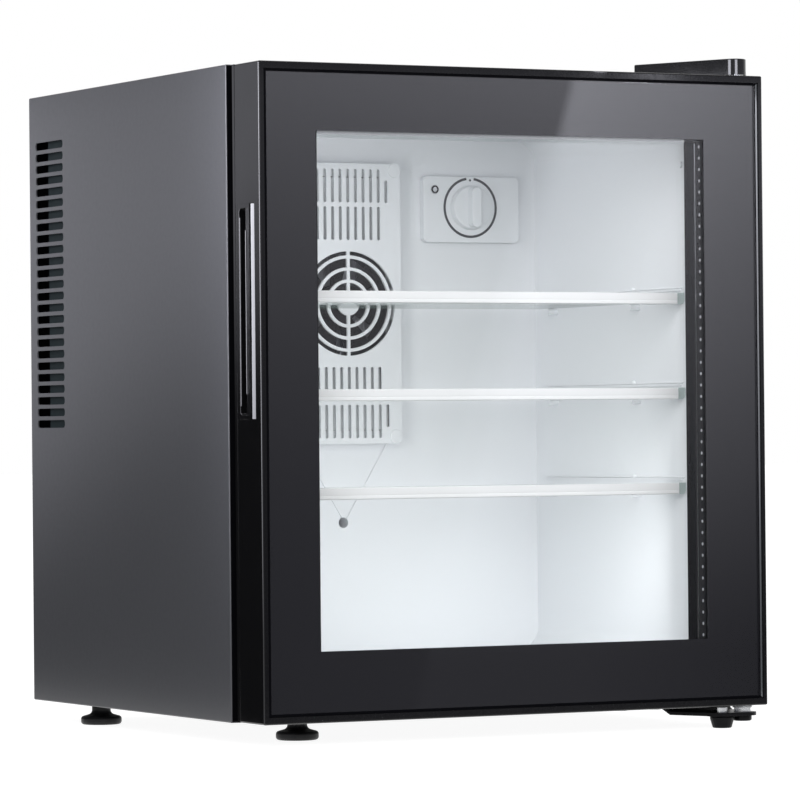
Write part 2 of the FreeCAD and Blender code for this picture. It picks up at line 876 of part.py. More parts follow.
def foam_insulation():
    """The foam between the sheet shell and the liner."""
    inner = SIDE - at.steel
    front = CABINET_FRONT + at.liner_wall
    core = frame_block(
        "foam_core", inner, CABINET_LOW + at.steel, CABINET_TOP - at.steel, (front, FOAM_BACK)
    )
    wall_back = LINER_BACK + at.liner_wall
    low = CABINET_LOW + at.steel
    tools = [
        tub("foam_tub", at.liner_wall, front - at.overrun, wall_back),
        bay("foam_bay", at.liner_wall, LINER_BACK, BAY_BACK + at.liner_wall),
        module_tunnel("foam_tunnel", BAY_BACK, FOAM_BACK + at.overrun),
        rod(
            "foam_drain", "y", (0, DRAIN_Z), at.drain_radius + at.drain_wall,
            wall_back - at.overrun, FOAM_BACK + at.overrun,
        ),
        switch_block("foam_switch", at.screw_play),
        rod(
            "foam_button", "x", (CABINET_FRONT + at.button_front, LINER_TOP - at.button_drop),
            at.button_radius, LINER_SIDE, LINER_SIDE + at.button_length,
        ),
    ]
    for i, spot in enumerate(FEET.values(), 1):
        tools.append(rod(f"foam_nut_{i}", "z", spot, at.nut_pocket_radius, low, low + at.stud_length))
    bolt_hole = at.bolt_radius + at.screw_play
    bolt_low = CABINET_LOW + at.bolt_length
    tools += rods("foam_bracket_bolt", "z", bracket_bolt_places(), bolt_hole, low, bolt_low)
    tools += rods(
        "foam_hinge_bolt", "z", hinge_bolt_places(), bolt_hole,
        CABINET_TOP - at.bolt_length, CABINET_TOP,
    )
    tools += rods(
        "foam_screw", "y", cover_screw_places(), at.screw_radius + at.screw_play,
        LINER_BACK, LINER_BACK + at.screw_length,
    )
    return part("foam_insulation", cut("foam_cut", core, *tools))


def bay_panel():
    """The sheet that closes the foam towards the rear bay."""
    inner = SIDE - at.steel
    panel = frame_block(
        "bay_sheet", inner, CABINET_LOW + at.steel, CABINET_TOP - at.steel, (FOAM_BACK, BAY_PANEL_BACK)
    )
    front = FOAM_BACK - at.overrun
    back = BAY_PANEL_BACK + at.overrun
    drain = rod(
        "bay_drain", "y", (0, DRAIN_Z), at.drain_radius + at.drain_wall, front, back
    )
    return part("bay_panel", cut("bay_panel_cut", panel, module_tunnel("bay_window", front, back), drain))


def drain_tube():
    """The tube that leads condensate from the liner to the tray."""
    spot = (0, DRAIN_Z)
    front = LINER_BACK + at.liner_wall
    back = BAY_PANEL_BACK + at.tray_depth / 2
    tube = rod("drain_outside", "y", spot, at.drain_radius + at.drain_wall, front, back)
    bore = rod("drain_bore", "y", spot, at.drain_radius, front - at.overrun, back + at.overrun)
    return part("drain_tube", cut("drain_cut", tube, bore))


def evaporation_tray():
    """The tray under the drain tube, on the bay panel."""
    half = at.tray_width / 2
    top = DRAIN_Z - at.drain_radius - at.drain_wall
    y = (BAY_PANEL_BACK, BAY_PANEL_BACK + at.tray_depth)
    outside = block("tray_outside", (-half, half), y, (top - at.tray_height, top))
    skin = at.tray_skin
    inside = block(
        "tray_inside", (-half + skin, half - skin), (y[0] + skin, y[1] - skin),
        (top - at.tray_height + skin, top + at.overrun),
    )
    return part("evaporation_tray", cut("tray_cut", outside, inside))


def slot_row(name, left, up, height, pitch, count):
    """A row of upright slot tools for the fan cover."""
    body = new_body(name + "_body")
    outline = rounded(at.grille_slot_width, height, at.grille_slot_width * at.slot_end_share)
    start = COVER_FRONT + at.cover_skin + at.overrun
    sketch = body_sketch(body, name, "front", left, FAN_Z + up, start, outline)
    first = pad(body, sketch, at.cover_skin + 2 * at.overrun)
    row_of(body, first, sketch, "H_Axis", pitch, count)
    return body


def cover_slots():
    """The four rows of slots, with a shorter slot at both ends of the outer rows."""
    height = at.grille_slot_height
    outer = at.cover_height / 2 - at.grille_margin - height / 2
    inner = outer - height - at.grille_rib
    left = -at.grille_pitch * (at.grille_slots - 1) / 2
    short = at.grille_short_height
    short_up = outer - (height - short) / 2
    pair_pitch = at.grille_pitch * (at.grille_slots + 1)
    rows = [
        slot_row(f"cover_row_{i}", left, up, height, at.grille_pitch, at.grille_slots)
        for i, up in enumerate((outer, inner, -inner, -outer), 1)
    ]
    rows += [
        slot_row(f"cover_pair_{i}", left - at.grille_pitch, up, short, pair_pitch, 2)
        for i, up in enumerate((short_up, -short_up), 1)
    ]
    return rows


def fan_cover():
    """The white cover on the back wall, with its slots and the round guard of the fan."""
    centre = (0, FAN_Z)
    back = COVER_FRONT + at.cover_skin
    skin_span = (COVER_FRONT, back)
    through = (COVER_FRONT - at.overrun, LINER_BACK + at.overrun)
    outside = prism(
        "cover_outside", "front", centre, COVER_FRONT, LINER_BACK,
        rounded(at.cover_width, at.cover_height, at.cover_radius),
    )
    hollow = prism(
        "cover_hollow", "front", centre, back, through[1],
        rounded(at.bay_width - 2 * at.cover_radius, at.bay_height, at.cover_radius),
    )
    opening = rod("cover_opening", "y", centre, at.guard_radius, *through)
    holes = rods(
        "cover_screw_hole", "y", cover_screw_places()[:4], at.screw_radius + at.screw_play, *through
    )
    holes += rods(
        "cover_screw_seat", "y", cover_screw_places()[:4], at.screw_head + at.screw_play,
        COVER_FRONT - at.overrun, COVER_FRONT + at.screw_head_depth,
    )
    slots = compound("cover_slots", cover_slots())
    shell = cut("cover_slotted", cut("cover_shell", outside, hollow, opening, *holes), slots)
    guard = [rod("guard_hub", "y", centre, at.guard_step, *skin_span)]
    for number in (2, 3, 4):
        outer = rod(f"guard_outer_{number}", "y", centre, at.guard_step * number, *skin_span)
        inner_radius = at.guard_step * number - at.guard_bar
        inner = rod(f"guard_inner_{number}", "y", centre, inner_radius, *through)
        guard.append(cut(f"guard_ring_{number}", outer, inner))
    reach = (-at.guard_radius - at.guard_bar, at.guard_radius + at.guard_bar)
    half = at.guard_bar / 2
    upright = (FAN_Z + reach[0], FAN_Z + reach[1])
    guard.append(block("guard_across", reach, skin_span, (FAN_Z - half, FAN_Z + half)))
    guard.append(block("guard_upright", (-half, half), skin_span, upright))
    return part("fan_cover", fuse("cover_whole", shell, *guard))


def cold_sink():
    """The finned block behind the cover."""
    return finned(
        "cold_sink", at.cold_fan_width, at.cold_sink_height, BAY_BACK, at.sink_base,
        at.bay_depth - at.cold_fan_depth - at.sink_base, at.cold_fins, -1,
    )


def hot_sink():
    """The finned block in the rear bay."""
    return finned(
        "hot_sink", at.hot_sink_width, at.hot_sink_height, BAY_PANEL_BACK, at.hot_base,
        at.hot_fin_depth, at.hot_fins, 1,
    )


def finned(name, width, height, root, base, fin_depth, fins, way):
    """A base plate with upright fins. way is 1 where the fins point to the rear."""
    body = new_body(name + "_body")
    outline = rounded(width, height, at.fin_thickness * at.fin_edge_share)
    plate = body_sketch(body, name + "_plate", "front", 0, FAN_Z, root, outline)
    pad(body, plate, base, backwards=way > 0)
    first = -(width - at.fin_thickness) / 2
    fin_outline = rounded(at.fin_thickness, height, at.fin_thickness * at.fin_edge_share)
    fin = body_sketch(body, name + "_fin", "front", first, FAN_Z, root + way * base, fin_outline)
    first_fin = pad(body, fin, fin_depth, backwards=way > 0)
    pitch = (width - at.fin_thickness) / (fins - 1)
    row_of(body, first_fin, fin, "H_Axis", pitch, fins)
    return part(name, body)


def spacer_block():
    """The block that carries the cold through the foam."""
    half = at.module_width / 2
    y = (BAY_BACK, BAY_PANEL_BACK - at.module_depth)
    return part("spacer_block", block("spacer", (-half, half), y, (FAN_Z - half, FAN_Z + half)))


def cooling_module():
    """The flat module that pumps heat from the spacer block to the hot sink."""
    half = at.module_width / 2
    y = (BAY_PANEL_BACK - at.module_depth, BAY_PANEL_BACK)
    return part("cooling_module", block("module", (-half, half), y, (FAN_Z - half, FAN_Z + half)))


def fan_pair(name, width, front, depth):
    """A fan's square frame and its impeller, which turns on the shaft of the frame."""
    half = width / 2
    throat = half - at.fan_skin
    hub = half * at.fan_hub_share
    back = front + depth
    plate = at.fan_skin
    centre = (0, FAN_Z)
    outline = rounded(width, width, at.fan_skin)
    square = prism(name + "_square", "front", centre, front, back, outline)
    bore = rod(name + "_bore", "y", centre, throat, front - at.overrun, back + at.overrun)
    disc = rod(name + "_disc", "y", centre, hub, back - plate, back)
    shaft = rod(name + "_shaft", "y", centre, at.fan_shaft, front + 2 * plate, back)
    across = block(
        name + "_strut_across", (-throat - plate / 2, throat + plate / 2), (back - plate, back),
        (FAN_Z - plate, FAN_Z + plate),
    )
    upright = block(
        name + "_strut_upright", (-plate, plate), (back - plate, back),
        (FAN_Z - throat - plate / 2, FAN_Z + throat + plate / 2),
    )
    frame = fuse(name + "_frame_whole", cut(name + "_hollow", square, bore), disc, across, upright, shaft)
    part(name + "_frame", frame)
    impeller = document.addObject("Part::Feature", name + "_rotor")
    run = float(depth) - 3 * float(plate)
    impeller.Shape = rotor_shape(float(hub), float(throat - at.fan_tip_gap), run, float(plate))
    place(impeller, 0, front + plate / 2, FAN_Z)
    part(name + "_impeller", impeller)


def rotor_shape(hub, tip, length, skin):
    """A hub with slanted blades about the Y axis, from 0 to length, with a blind bore from the rear."""
    ahead = FreeCAD.Vector(0, 1, 0)
    root = FreeCAD.Vector(0, 0, 0)
    core = Part.makeCylinder(hub, length, root, ahead)
    count = int(float(at.fan_blades))
    blades = []
    for number in range(count):
        sections = []
        for radius, slant in ((hub - skin / 2, at.blade_root_slant), (tip, at.blade_tip_slant)):
            chord = 2 * math.pi * radius / count * float(at.blade_chord_share)
            rise = min(length * float(at.blade_rise_share), chord * math.tan(math.radians(float(slant))))
            run = chord / 2
            sections.append(
                Part.makePolygon(
                    [
                        FreeCAD.Vector(-run, (length - rise) / 2, radius),
                        FreeCAD.Vector(-run, (length - rise) / 2 + skin / 2, radius),
                        FreeCAD.Vector(run, (length + rise) / 2, radius),
                        FreeCAD.Vector(run, (length + rise) / 2 - skin / 2, radius),
                        FreeCAD.Vector(-run, (length - rise) / 2, radius),
                    ]
                )
            )
        blade = Part.makeLoft(sections, True, True)
        blade.rotate(root, ahead, 360 * number / count)
        blades.append(blade)
    limit = Part.makeCylinder(tip, length, root, ahead)
    wheel = core.fuse([blade.common(limit) for blade in blades])
    bore = Part.makeCylinder(
        float(at.fan_shaft + at.running_fit), length, FreeCAD.Vector(0, skin, 0), ahead
    )
    return wheel.cut(bore)


def power_supply():
    """The supply box on the bay panel."""
    low = CABINET_LOW + at.supply_low
    body = prism(
        "supply_box", "front",
        (at.supply_side_gap - SIDE + at.supply_width / 2, low + at.supply_height / 2),
        BAY_PANEL_BACK, BAY_PANEL_BACK + at.supply_depth,
        rounded(at.supply_width, at.supply_height, at.supply_round),
    )
    return part("power_supply", body)


def cord_gland():
    """The gland in the rear panel where a mains cord enters."""
    spot = (GLAND_X, CABINET_LOW + at.gland_height)
    inside = BACK - at.gland_length
    barrel = rod("gland_barrel", "y", spot, at.gland_radius, inside, BACK)
    flange = rod(
        "gland_flange_disc", "y", spot, at.gland_radius + at.gland_flange,
        BACK - at.steel - at.gland_flange, BACK - at.steel,
    )
    bore = rod("gland_way", "y", spot, at.gland_bore, inside - at.overrun, BACK + at.overrun)
    return part("cord_gland", cut("gland_cut", fuse("gland_whole", barrel, flange), bore))


def switch_block(name, play):
    """The thermostat's switch body behind the liner, grown by a play."""
    half = at.switch_width / 2 + play
    front = LINER_BACK + at.liner_wall
    return block(
        name, (DIAL_X - half, DIAL_X + half), (front, front + at.switch_depth + play),
        (DIAL_Z - half, DIAL_Z + half),
    )


def thermostat_switch():
    """The rotary switch and its shaft, which carries the knob."""
    body = switch_block("switch_box", 0)
    tip = PLATE_FRONT - at.dial_shaft_reach
    shaft = rod("switch_shaft", "y", (DIAL_X, DIAL_Z), at.dial_shaft, tip, LINER_BACK + at.liner_wall)
    return part("thermostat_switch", fuse("switch_whole", body, shaft))


def thermostat_plate():
    """The raised plate on the back wall that carries the dial."""
    centre = (PLATE_LEFT + PLATE_WIDTH / 2, PLATE_TOP - at.plate_height / 2)
    plate = prism(
        "plate_slab", "front", centre, PLATE_FRONT, LINER_BACK,
        rounded(PLATE_WIDTH, at.plate_height, at.plate_radius),
    )
    screw = cover_screw_places()[-1]
    tools = [
        rod(
            "plate_shaft_hole", "y", (DIAL_X, DIAL_Z), at.dial_shaft + at.screw_play,
            PLATE_FRONT - at.overrun, LINER_BACK + at.overrun,
        ),
        rod(
            "plate_screw_hole", "y", screw, at.screw_radius + at.screw_play,
            PLATE_FRONT - at.overrun, LINER_BACK + at.overrun,
        ),
        rod(
            "plate_screw_seat", "y", screw, at.screw_head + at.screw_play,
            PLATE_FRONT - at.overrun, PLATE_FRONT + at.screw_head_depth,
        ),
    ]
    return part("thermostat_plate", cut("plate_cut", plate, *tools))


def thermostat_knob():
    """The round knob with its grip bar."""
    spot = (DIAL_X, DIAL_Z)
    back = PLATE_FRONT - at.screw_play
    front = back - at.knob_depth
    base = back - at.knob_depth * at.knob_disc_share
    tip = at.knob_radius * at.knob_taper_share
    disc = cone("knob_disc", "y", spot, tip, at.knob_radius, base, back)
    grip = prism(
        "knob_grip_bar", "front", spot, front, base,
        rounded(at.knob_grip, at.knob_radius * at.knob_grip_share, at.knob_grip * at.slot_end_share),
    )
    bore = rod(
        "knob_bore", "y", spot, at.dial_shaft + at.running_fit,
        PLATE_FRONT - at.dial_shaft_reach - at.screw_play, PLATE_FRONT + at.overrun,
    )
    return part("thermostat_knob", cut("knob_cut", fuse("knob_whole", disc, grip), bore))


def cover_screws():
    """The small screws of the fan cover and the thermostat plate."""
    pieces = []
    for i, (x, z) in enumerate(cover_screw_places(), 1):
        front = COVER_FRONT if i <= 4 else PLATE_FRONT
        seat = front + at.screw_head_depth
        tip = LINER_BACK + at.screw_length - at.overrun
        head = rod(f"screw_head_{i}", "y", (x, z), at.screw_head, front, seat)
        shank = rod(f"screw_shank_{i}", "y", (x, z), at.screw_radius, seat, tip)
        pieces.append(fuse(f"screw_{i}", head, shank))
    return part("cover_screws", compound("screws", pieces))


def compound(name, pieces):
    """Separate solids under one name."""
    group = document.addObject("Part::Compound", name)
    group.Links = pieces
    return group


def shelves():
    """The glass shelves, each with its white front trim, and the pegs that carry them."""
    half = LINER_SIDE - at.shelf_play
    trim_half = LINER_SIDE - at.trim_end_gap
    pegs = []
    for number, name in enumerate(("top", "middle", "bottom")[: int(float(at.shelf_count))]):
        top = shelf_top(number)
        trim_low = top - at.trim_height
        glass_low = trim_low + at.trim_base
        glass_top = glass_low + at.glass_shelf
        pane = block(
            f"{name}_pane", (-half, half), (SHELF_FRONT, SHELF_BACK), (glass_low, glass_top)
        )
        part(f"{name}_shelf_glass", pane)
        nose = prism(
            f"{name}_trim_bar", "side", (SHELF_FRONT - at.trim_base, trim_low), -trim_half, trim_half,
            polygon(
                (0, 0), (at.trim_depth, 0), (at.trim_depth, at.trim_base),
                (at.trim_base, at.trim_base), (at.trim_base, at.trim_base + at.glass_shelf),
                (at.trim_depth / 2, at.trim_base + at.glass_shelf),
                (at.trim_depth / 2, at.trim_height), (0, at.trim_height),
            ),
        )
        part(f"{name}_shelf_trim", nose)
        for y in (CABINET_FRONT + at.peg_front, SHELF_BACK - at.peg_rear_inset):
            for side in (-1, 1):
                inner = side * (LINER_SIDE - at.peg_reach)
                ends = (inner, side * LINER_SIDE) if side > 0 else (side * LINER_SIDE, inner)
                spot = (y, glass_low - at.peg_radius)
                pegs.append(
                    rod(f"{name}_peg_{len(pegs)}", "x", spot, at.peg_radius, *ends)
                )
    part("shelf_pegs", compound("pegs", pegs))


def lamp():
    """The light strip under the ceiling: a board and its lens, and the switch button in the side wall."""
    half = at.lamp_width / 2
    y = (CABINET_FRONT + at.lamp_front, CABINET_FRONT + at.lamp_front + at.lamp_depth)
    skin = at.lamp_skin
    low = LINER_TOP - at.lamp_height
    board_low = LINER_TOP - at.board_thickness
    inside = ((-half + skin, half - skin), (y[0] + skin, y[1] - skin))
    cavity = block("lamp_cavity", *inside, (low + skin, LINER_TOP + at.overrun))
    shell = block("lamp_shell", (-half, half), y, (low, LINER_TOP))
    part("lamp_lens", cut("lamp_lens_cut", shell, cavity))
    part("lamp_board", block("lamp_strip", *inside, (board_low, LINER_TOP)))
    spot = (CABINET_FRONT + at.button_front, LINER_TOP - at.button_drop)
    button = rod(
        "button_rod", "x", spot, at.button_radius - at.running_fit,
        LINER_SIDE - at.button_reach, LINER_SIDE - at.button_reach + at.button_length,
    )
    part("lamp_button", button)


def levelling_foot(label, x, y):
    """A flared foot with its threaded stud, turned in one profile."""
    body = new_body(label + "_body")
    rim, flare, neck = at.foot_rim, at.foot_flare, at.foot_neck
    top = CABINET_LOW
    outline = polygon(
        (0, 0), (at.foot_radius, 0), (at.foot_radius, rim), (neck + at.foot_blend, flare),
        (neck, flare + at.foot_blend), (neck, top), (at.stud_radius, top),
        (at.stud_radius, top + at.stud_length), (0, top + at.stud_length),
    )
    profile = body_sketch(body, label + "_profile", "front", 0, 0, 0, outline)
    turned = body.newObject("PartDesign::Revolution", label + "_turned")
    turned.Profile = profile
    turned.ReferenceAxis = (profile, ["V_Axis"])
    turned.Angle = 360
    place(body, x, y, 0)
    return part(label, body)


def foot_nuts():
    """The weld nuts on the floor sheet that the feet screw into."""
    low = CABINET_LOW + at.steel
    pieces = []
    for i, spot in enumerate(FEET.values(), 1):
        blank = prism(
            f"nut_blank_{i}", "plan", spot, low, low + at.nut_depth, regular(6, at.nut_width)
        )
        thread = rod(
            f"nut_thread_{i}", "z", spot, at.stud_radius + at.running_fit,
            low - at.overrun, low + at.nut_depth + at.overrun,
        )
        pieces.append(cut(f"nut_{i}", blank, thread))
    return part("foot_nuts", compound("nuts", pieces))


def bolts(label, places, seat, way):
    """A group of bolts whose heads lie on seat. way is 1 where the heads point up."""
    pieces = []
    for i, spot in enumerate(places, 1):
        head_end = seat + way * at.bolt_head_depth
        tip = seat - way * at.bolt_length
        head_span = sorted((seat, head_end), key=float)
        shank_span = sorted((seat, tip), key=float)
        head = rod(f"{label}_head_{i}", "z", spot, at.bolt_head, *head_span)
        shank = rod(f"{label}_shank_{i}", "z", spot, at.bolt_radius, *shank_span)
        pieces.append(fuse(f"{label}_{i}", head, shank))
    return part(label, compound(label + "_group", pieces))


def top_hinge():
    """The top plate on the cabinet, its pin, its bolts and its moulded cover."""
    seat = CABINET_TOP
    plate_top = seat + at.hinge_plate
    rear = CABINET_FRONT + at.hinge_seat - PIN_Y
    left = at.cover_end - at.hinge_seat_width
    wall = at.cover_wall
    play = wall + at.screw_play
    spot = (PIN_X, PIN_Y)
    plate = prism(
        "hinge_plate_blank", "plan", spot, seat, plate_top,
        teardrop(at.cover_end - play, left + 2 * play, at.cover_end - play, rear - play),
    )
    holes = rods(
        "hinge_plate_hole", "z", hinge_bolt_places(), at.bolt_radius + at.screw_play,
        seat - at.overrun, plate_top + at.overrun,
    )
    pin_hole = rod(
        "hinge_plate_pin_hole", "z", spot, at.pin_radius, seat - at.overrun, plate_top + at.overrun
    )
    part("top_hinge_plate", cut("hinge_plate_cut", plate, pin_hole, *holes))
    shank = rod("top_pin_shank", "z", spot, at.pin_radius, DOOR_TOP - at.pin_reach, plate_top)
    head = rod("top_pin_head", "z", spot, at.pin_head, plate_top, plate_top + at.pin_head_depth)
    part("top_hinge_pin", fuse("top_pin", shank, head))
    bolts("top_hinge_bolts", hinge_bolt_places(), plate_top, 1)
    top = seat + at.cover_rise
    outside = prism(
        "hinge_cover_outside", "plan", spot, seat, top,
        teardrop(at.cover_end, left, at.cover_end, rear),
    )
    inside = prism(
        "hinge_cover_inside", "plan", spot, seat - at.overrun, top - wall,
        teardrop(at.cover_end - wall, left + 2 * wall, at.cover_end - wall, rear - wall),
    )
    part("top_hinge_cover", cut("hinge_cover_cut", outside, inside))


def bottom_hinge():
    """The folded bracket under the cabinet, its pin, nut and bolts, and the foot that it carries."""
    seat = CABINET_LOW
    plate = at.hinge_plate
    low = seat - at.bracket_drop
    end = at.bracket_end
    foot = (SIDE - at.hinge_foot_x, PIN_Y)
    pin = (PIN_X, PIN_Y)
    rear = CABINET_FRONT + at.bracket_seat
    foot_x = foot[0]
    left = PIN_X + end - at.bracket_seat_width - foot_x
    z = (seat - at.foot_height, seat + at.overrun)
    lobe = prism("bracket_lobe", "plan", foot, *z, teardrop(end, left, end, rear - PIN_Y))
    inner_lobe = prism(
        "bracket_inner_lobe", "plan", foot, *z,
        teardrop(end - at.bracket_lip, left + 2 * at.bracket_lip, end, rear - PIN_Y + at.overrun),
    )
    strip = block("bracket_strip", (foot_x, PIN_X + end), (PIN_Y, rear), z)
    nose = block("bracket_nose", (foot_x, PIN_X), (PIN_Y - end, PIN_Y), z)
    lug = rod("bracket_lug", "z", pin, end, *z)
    outline = fuse("bracket_outline_whole", lobe, strip, nose, lug)
    fold_rear = CABINET_FRONT - at.bracket_fold
    fold_front = fold_rear - at.bracket_fold_run
    folded = prism(
        "bracket_folded", "side", (0, 0), PIN_X - at.bracket_seat_width, SIDE,
        polygon(
            (rear, seat), (fold_rear, seat), (fold_front, low), (FRONT, low),
            (FRONT, low - plate), (fold_front, low - plate), (fold_rear, seat - plate), (rear, seat - plate),
        ),
    )
    sheet_part = common("bracket_sheet", folded, outline)
    lip_ring = cut("bracket_lip_ring", lobe, inner_lobe)
    lip_low = at.hinge_foot_height
    lip_left = foot_x - at.bracket_lip_reach
    wedge = prism(
        "bracket_wedge", "front", (0, 0), FRONT, fold_front,
        polygon(
            (lip_left, low - plate), (foot_x - at.bracket_lip_bend, lip_low + at.bracket_lip_step),
            (foot_x - at.bracket_lip_flat, lip_low), (foot_x - end + at.bracket_lip, lip_low),
            (foot_x - end + at.bracket_lip, low), (lip_left, low),
        ),
    )
    lip = common("bracket_lip_piece", lip_ring, wedge)
    through = (low - plate - at.overrun, seat + at.overrun)
    holes = rods(
        "bracket_bolt_hole", "z", bracket_bolt_places(), at.bolt_radius + at.screw_play, *through
    )
    holes.append(rod("bracket_stud_hole", "z", foot, at.stud_radius + at.running_fit, *through))
    holes.append(rod("bracket_pin_hole", "z", pin, at.pin_radius, *through))
    part("bottom_hinge_bracket", cut("bracket_cut", fuse("bracket_whole", sheet_part, lip), *holes))
    shank = rod(
        "low_pin_shank", "z", pin, at.pin_radius, low - plate - at.cap_nut_depth / 2, DOOR_LOW + at.pin_reach
    )
    collar = prism(
        "low_pin_collar", "plan", pin, low, low + at.collar_depth, regular(6, at.collar_width)
    )
    part("bottom_hinge_pin", fuse("low_pin", shank, collar))
    nut = rod("cap_nut_body", "z", pin, at.cap_nut_radius, low - plate - at.cap_nut_depth, low - plate)
    nut_bore = rod(
        "cap_nut_bore", "z", pin, at.pin_radius, low - plate - at.cap_nut_depth / 2, low - plate + at.overrun
    )
    part("bottom_hinge_nut", cut("cap_nut", nut, nut_bore))
    bolts("bottom_hinge_bolts", bracket_bolt_places(), seat - plate, -1)
    tip = at.hinge_foot_height
    foot_body = cone("hinge_foot_body", "z", foot, at.hinge_foot_base, at.hinge_foot_top, 0, tip)
    part("front_right_foot", foot_body)
    part("front_right_stud", rod("hinge_stud_rod", "z", foot, at.stud_radius, tip, at.hinge_stud_top))


GLASS_FRONT = FRONT + at.lip_depth
PRINT_BACK = GLASS_FRONT + at.front_glass + at.print_layer
SPACER_BACK = PRINT_BACK + at.spacer_depth
REAR_GLASS_BACK = SPACER_BACK + at.rear_glass
RETAINER_FRONT = DOOR_BACK - at.retainer
WINDOW_INSET = at.border - at.spacer_width - at.glass_play


def door_frame():
    """The glossy moulded frame of the door, with its handle opening and the seats of the bushes."""
    outer = frame_block("frame_outer", SIDE, DOOR_LOW, DOOR_TOP, (FRONT, RETAINER_FRONT))
    wall = at.frame_wall
    corner = at.frame_corner
    channel_y = (PRINT_BACK + wall, RETAINER_FRONT + at.overrun)
    inner = WINDOW_INSET - wall
    tools = [
        frame_block(
            "frame_front_pocket", SIDE - at.lip_side, DOOR_LOW + at.lip_end, DOOR_TOP - at.lip_end,
            (FRONT - at.overrun, PRINT_BACK),
        ),
        frame_block(
            "frame_window", SIDE - WINDOW_INSET, DOOR_LOW + WINDOW_INSET, DOOR_TOP - WINDOW_INSET,
            (PRINT_BACK - at.overrun, RETAINER_FRONT + at.overrun),
        ),
    ]
    uprights = (DOOR_LOW + corner, DOOR_TOP - corner)
    level = (-SIDE + corner, SIDE - corner)
    tools.append(block("frame_channel_left", (-SIDE + wall, -SIDE + inner), channel_y, uprights))
    tools.append(block("frame_channel_right", (SIDE - inner, SIDE - wall), channel_y, uprights))
    tools.append(block("frame_channel_low", level, channel_y, (DOOR_LOW + wall, DOOR_LOW + inner)))
    tools.append(block("frame_channel_top", level, channel_y, (DOOR_TOP - inner, DOOR_TOP - wall)))
    tools.append(handle_block("frame_handle_opening", at.overrun))
    seat = at.pin_radius + at.running_fit + at.bush_wall
    spot = (PIN_X, PIN_Y)
    tools.append(
        rod("frame_low_seat", "z", spot, seat, DOOR_LOW - at.overrun, DOOR_LOW + at.pin_reach + at.overrun)
    )
    tools.append(
        rod("frame_top_seat", "z", spot, seat, DOOR_TOP - at.pin_reach - at.overrun, DOOR_TOP + at.overrun)
    )
    return part("door_frame", cut("frame_cut", outer, *tools))


def handle_block(name, beyond):
    """The space of the handle insert, run out through the door's side by a length."""
    low = DOOR_LOW + at.handle_low
    y = (FRONT + at.handle_front, FRONT + at.handle_front + at.handle_width)
    return block(name, (-SIDE - beyond, -SIDE + at.handle_depth), y, (low, low + at.handle_height))


def handle_insert():
    """The recessed pull in the door's side, with its front grip bar."""
    shell = handle_block("handle_shell", 0)
    low = DOOR_LOW + at.handle_low
    front = FRONT + at.handle_front
    skin = at.handle_skin
    hollow = prism(
        "handle_hollow", "side",
        (front + (at.handle_bar + at.handle_width - skin) / 2, low + at.handle_height / 2),
        -SIDE - at.overrun, -SIDE + at.handle_depth - skin,
        rounded(at.handle_width - skin - at.handle_bar, at.handle_height - 2 * at.handle_end, at.handle_end),
    )
    return part("handle_insert", cut("handle_cut", shell, hollow))


def glazing():
    """The front glass, its printed border, the spacer bar and the rear glass."""
    play = at.glass_play
    front = frame_block(
        "front_pane", SIDE - at.lip_side - play, DOOR_LOW + at.lip_end + play, DOOR_TOP - at.lip_end - play,
        (GLASS_FRONT, GLASS_FRONT + at.front_glass),
    )
    part("front_glass", front)
    edge = frame_block(
        "print_sheet", SIDE - at.lip_side - play, DOOR_LOW + at.lip_end + play, DOOR_TOP - at.lip_end - play,
        (GLASS_FRONT + at.front_glass, PRINT_BACK),
    )
    window = frame_block(
        "print_window", SIDE - at.border, DOOR_LOW + at.border, DOOR_TOP - at.border,
        (GLASS_FRONT + at.front_glass - at.overrun, PRINT_BACK + at.overrun),
    )
    part("glass_border", cut("print_cut", edge, window))
    part("glass_spacer", spacer_bar())
    inset = WINDOW_INSET + play
    rear = frame_block(
        "rear_pane", SIDE - inset, DOOR_LOW + inset, DOOR_TOP - inset, (SPACER_BACK, REAR_GLASS_BACK)
    )
    part("rear_glass", rear)


def spacer_bar():
    """The hollow bar between the panes, with its row of breathing holes."""
    inset = WINDOW_INSET + at.glass_play
    middle = (PRINT_BACK + SPACER_BACK) / 2
    bar = ring("spacer_ring", inset, at.spacer_width, (PRINT_BACK, SPACER_BACK))
    body = new_body("spacer_holes")
    run = at.cabinet_height - 2 * at.door_gap - 2 * at.border
    start = DOOR_LOW + at.border + at.dot_pitch
    side = SIDE - at.border + at.dot_depth
    dots = body_sketch(body, "spacer_dot", "side", middle, start, -side, circle(at.dot_radius))
    first = pad(body, dots, 2 * side)
    count = Length(f"floor({run / at.dot_pitch} - 1)", math.floor(float(run / at.dot_pitch) - 1))
    row_of(body, first, dots, "V_Axis", at.dot_pitch, count)
    return cut("spacer_cut", bar, body)


def door_retainer():
    """The rear frame of the door, which holds the glass and the gasket."""
    inset = WINDOW_INSET + at.glass_play
    outer = ring("retainer_plate", 0, inset + at.retainer_lip, (RETAINER_FRONT, DOOR_BACK))
    collar = ring("retainer_collar", inset, at.retainer_lip, (REAR_GLASS_BACK, RETAINER_FRONT))
    groove = ring(
        "retainer_groove", at.gasket_outset + (at.gasket_width - at.dart_width) / 2, at.dart_width,
        (DOOR_BACK - at.dart_depth, DOOR_BACK + at.overrun),
    )
    return part("door_retainer", cut("retainer_cut", fuse("retainer_whole", outer, collar), groove))


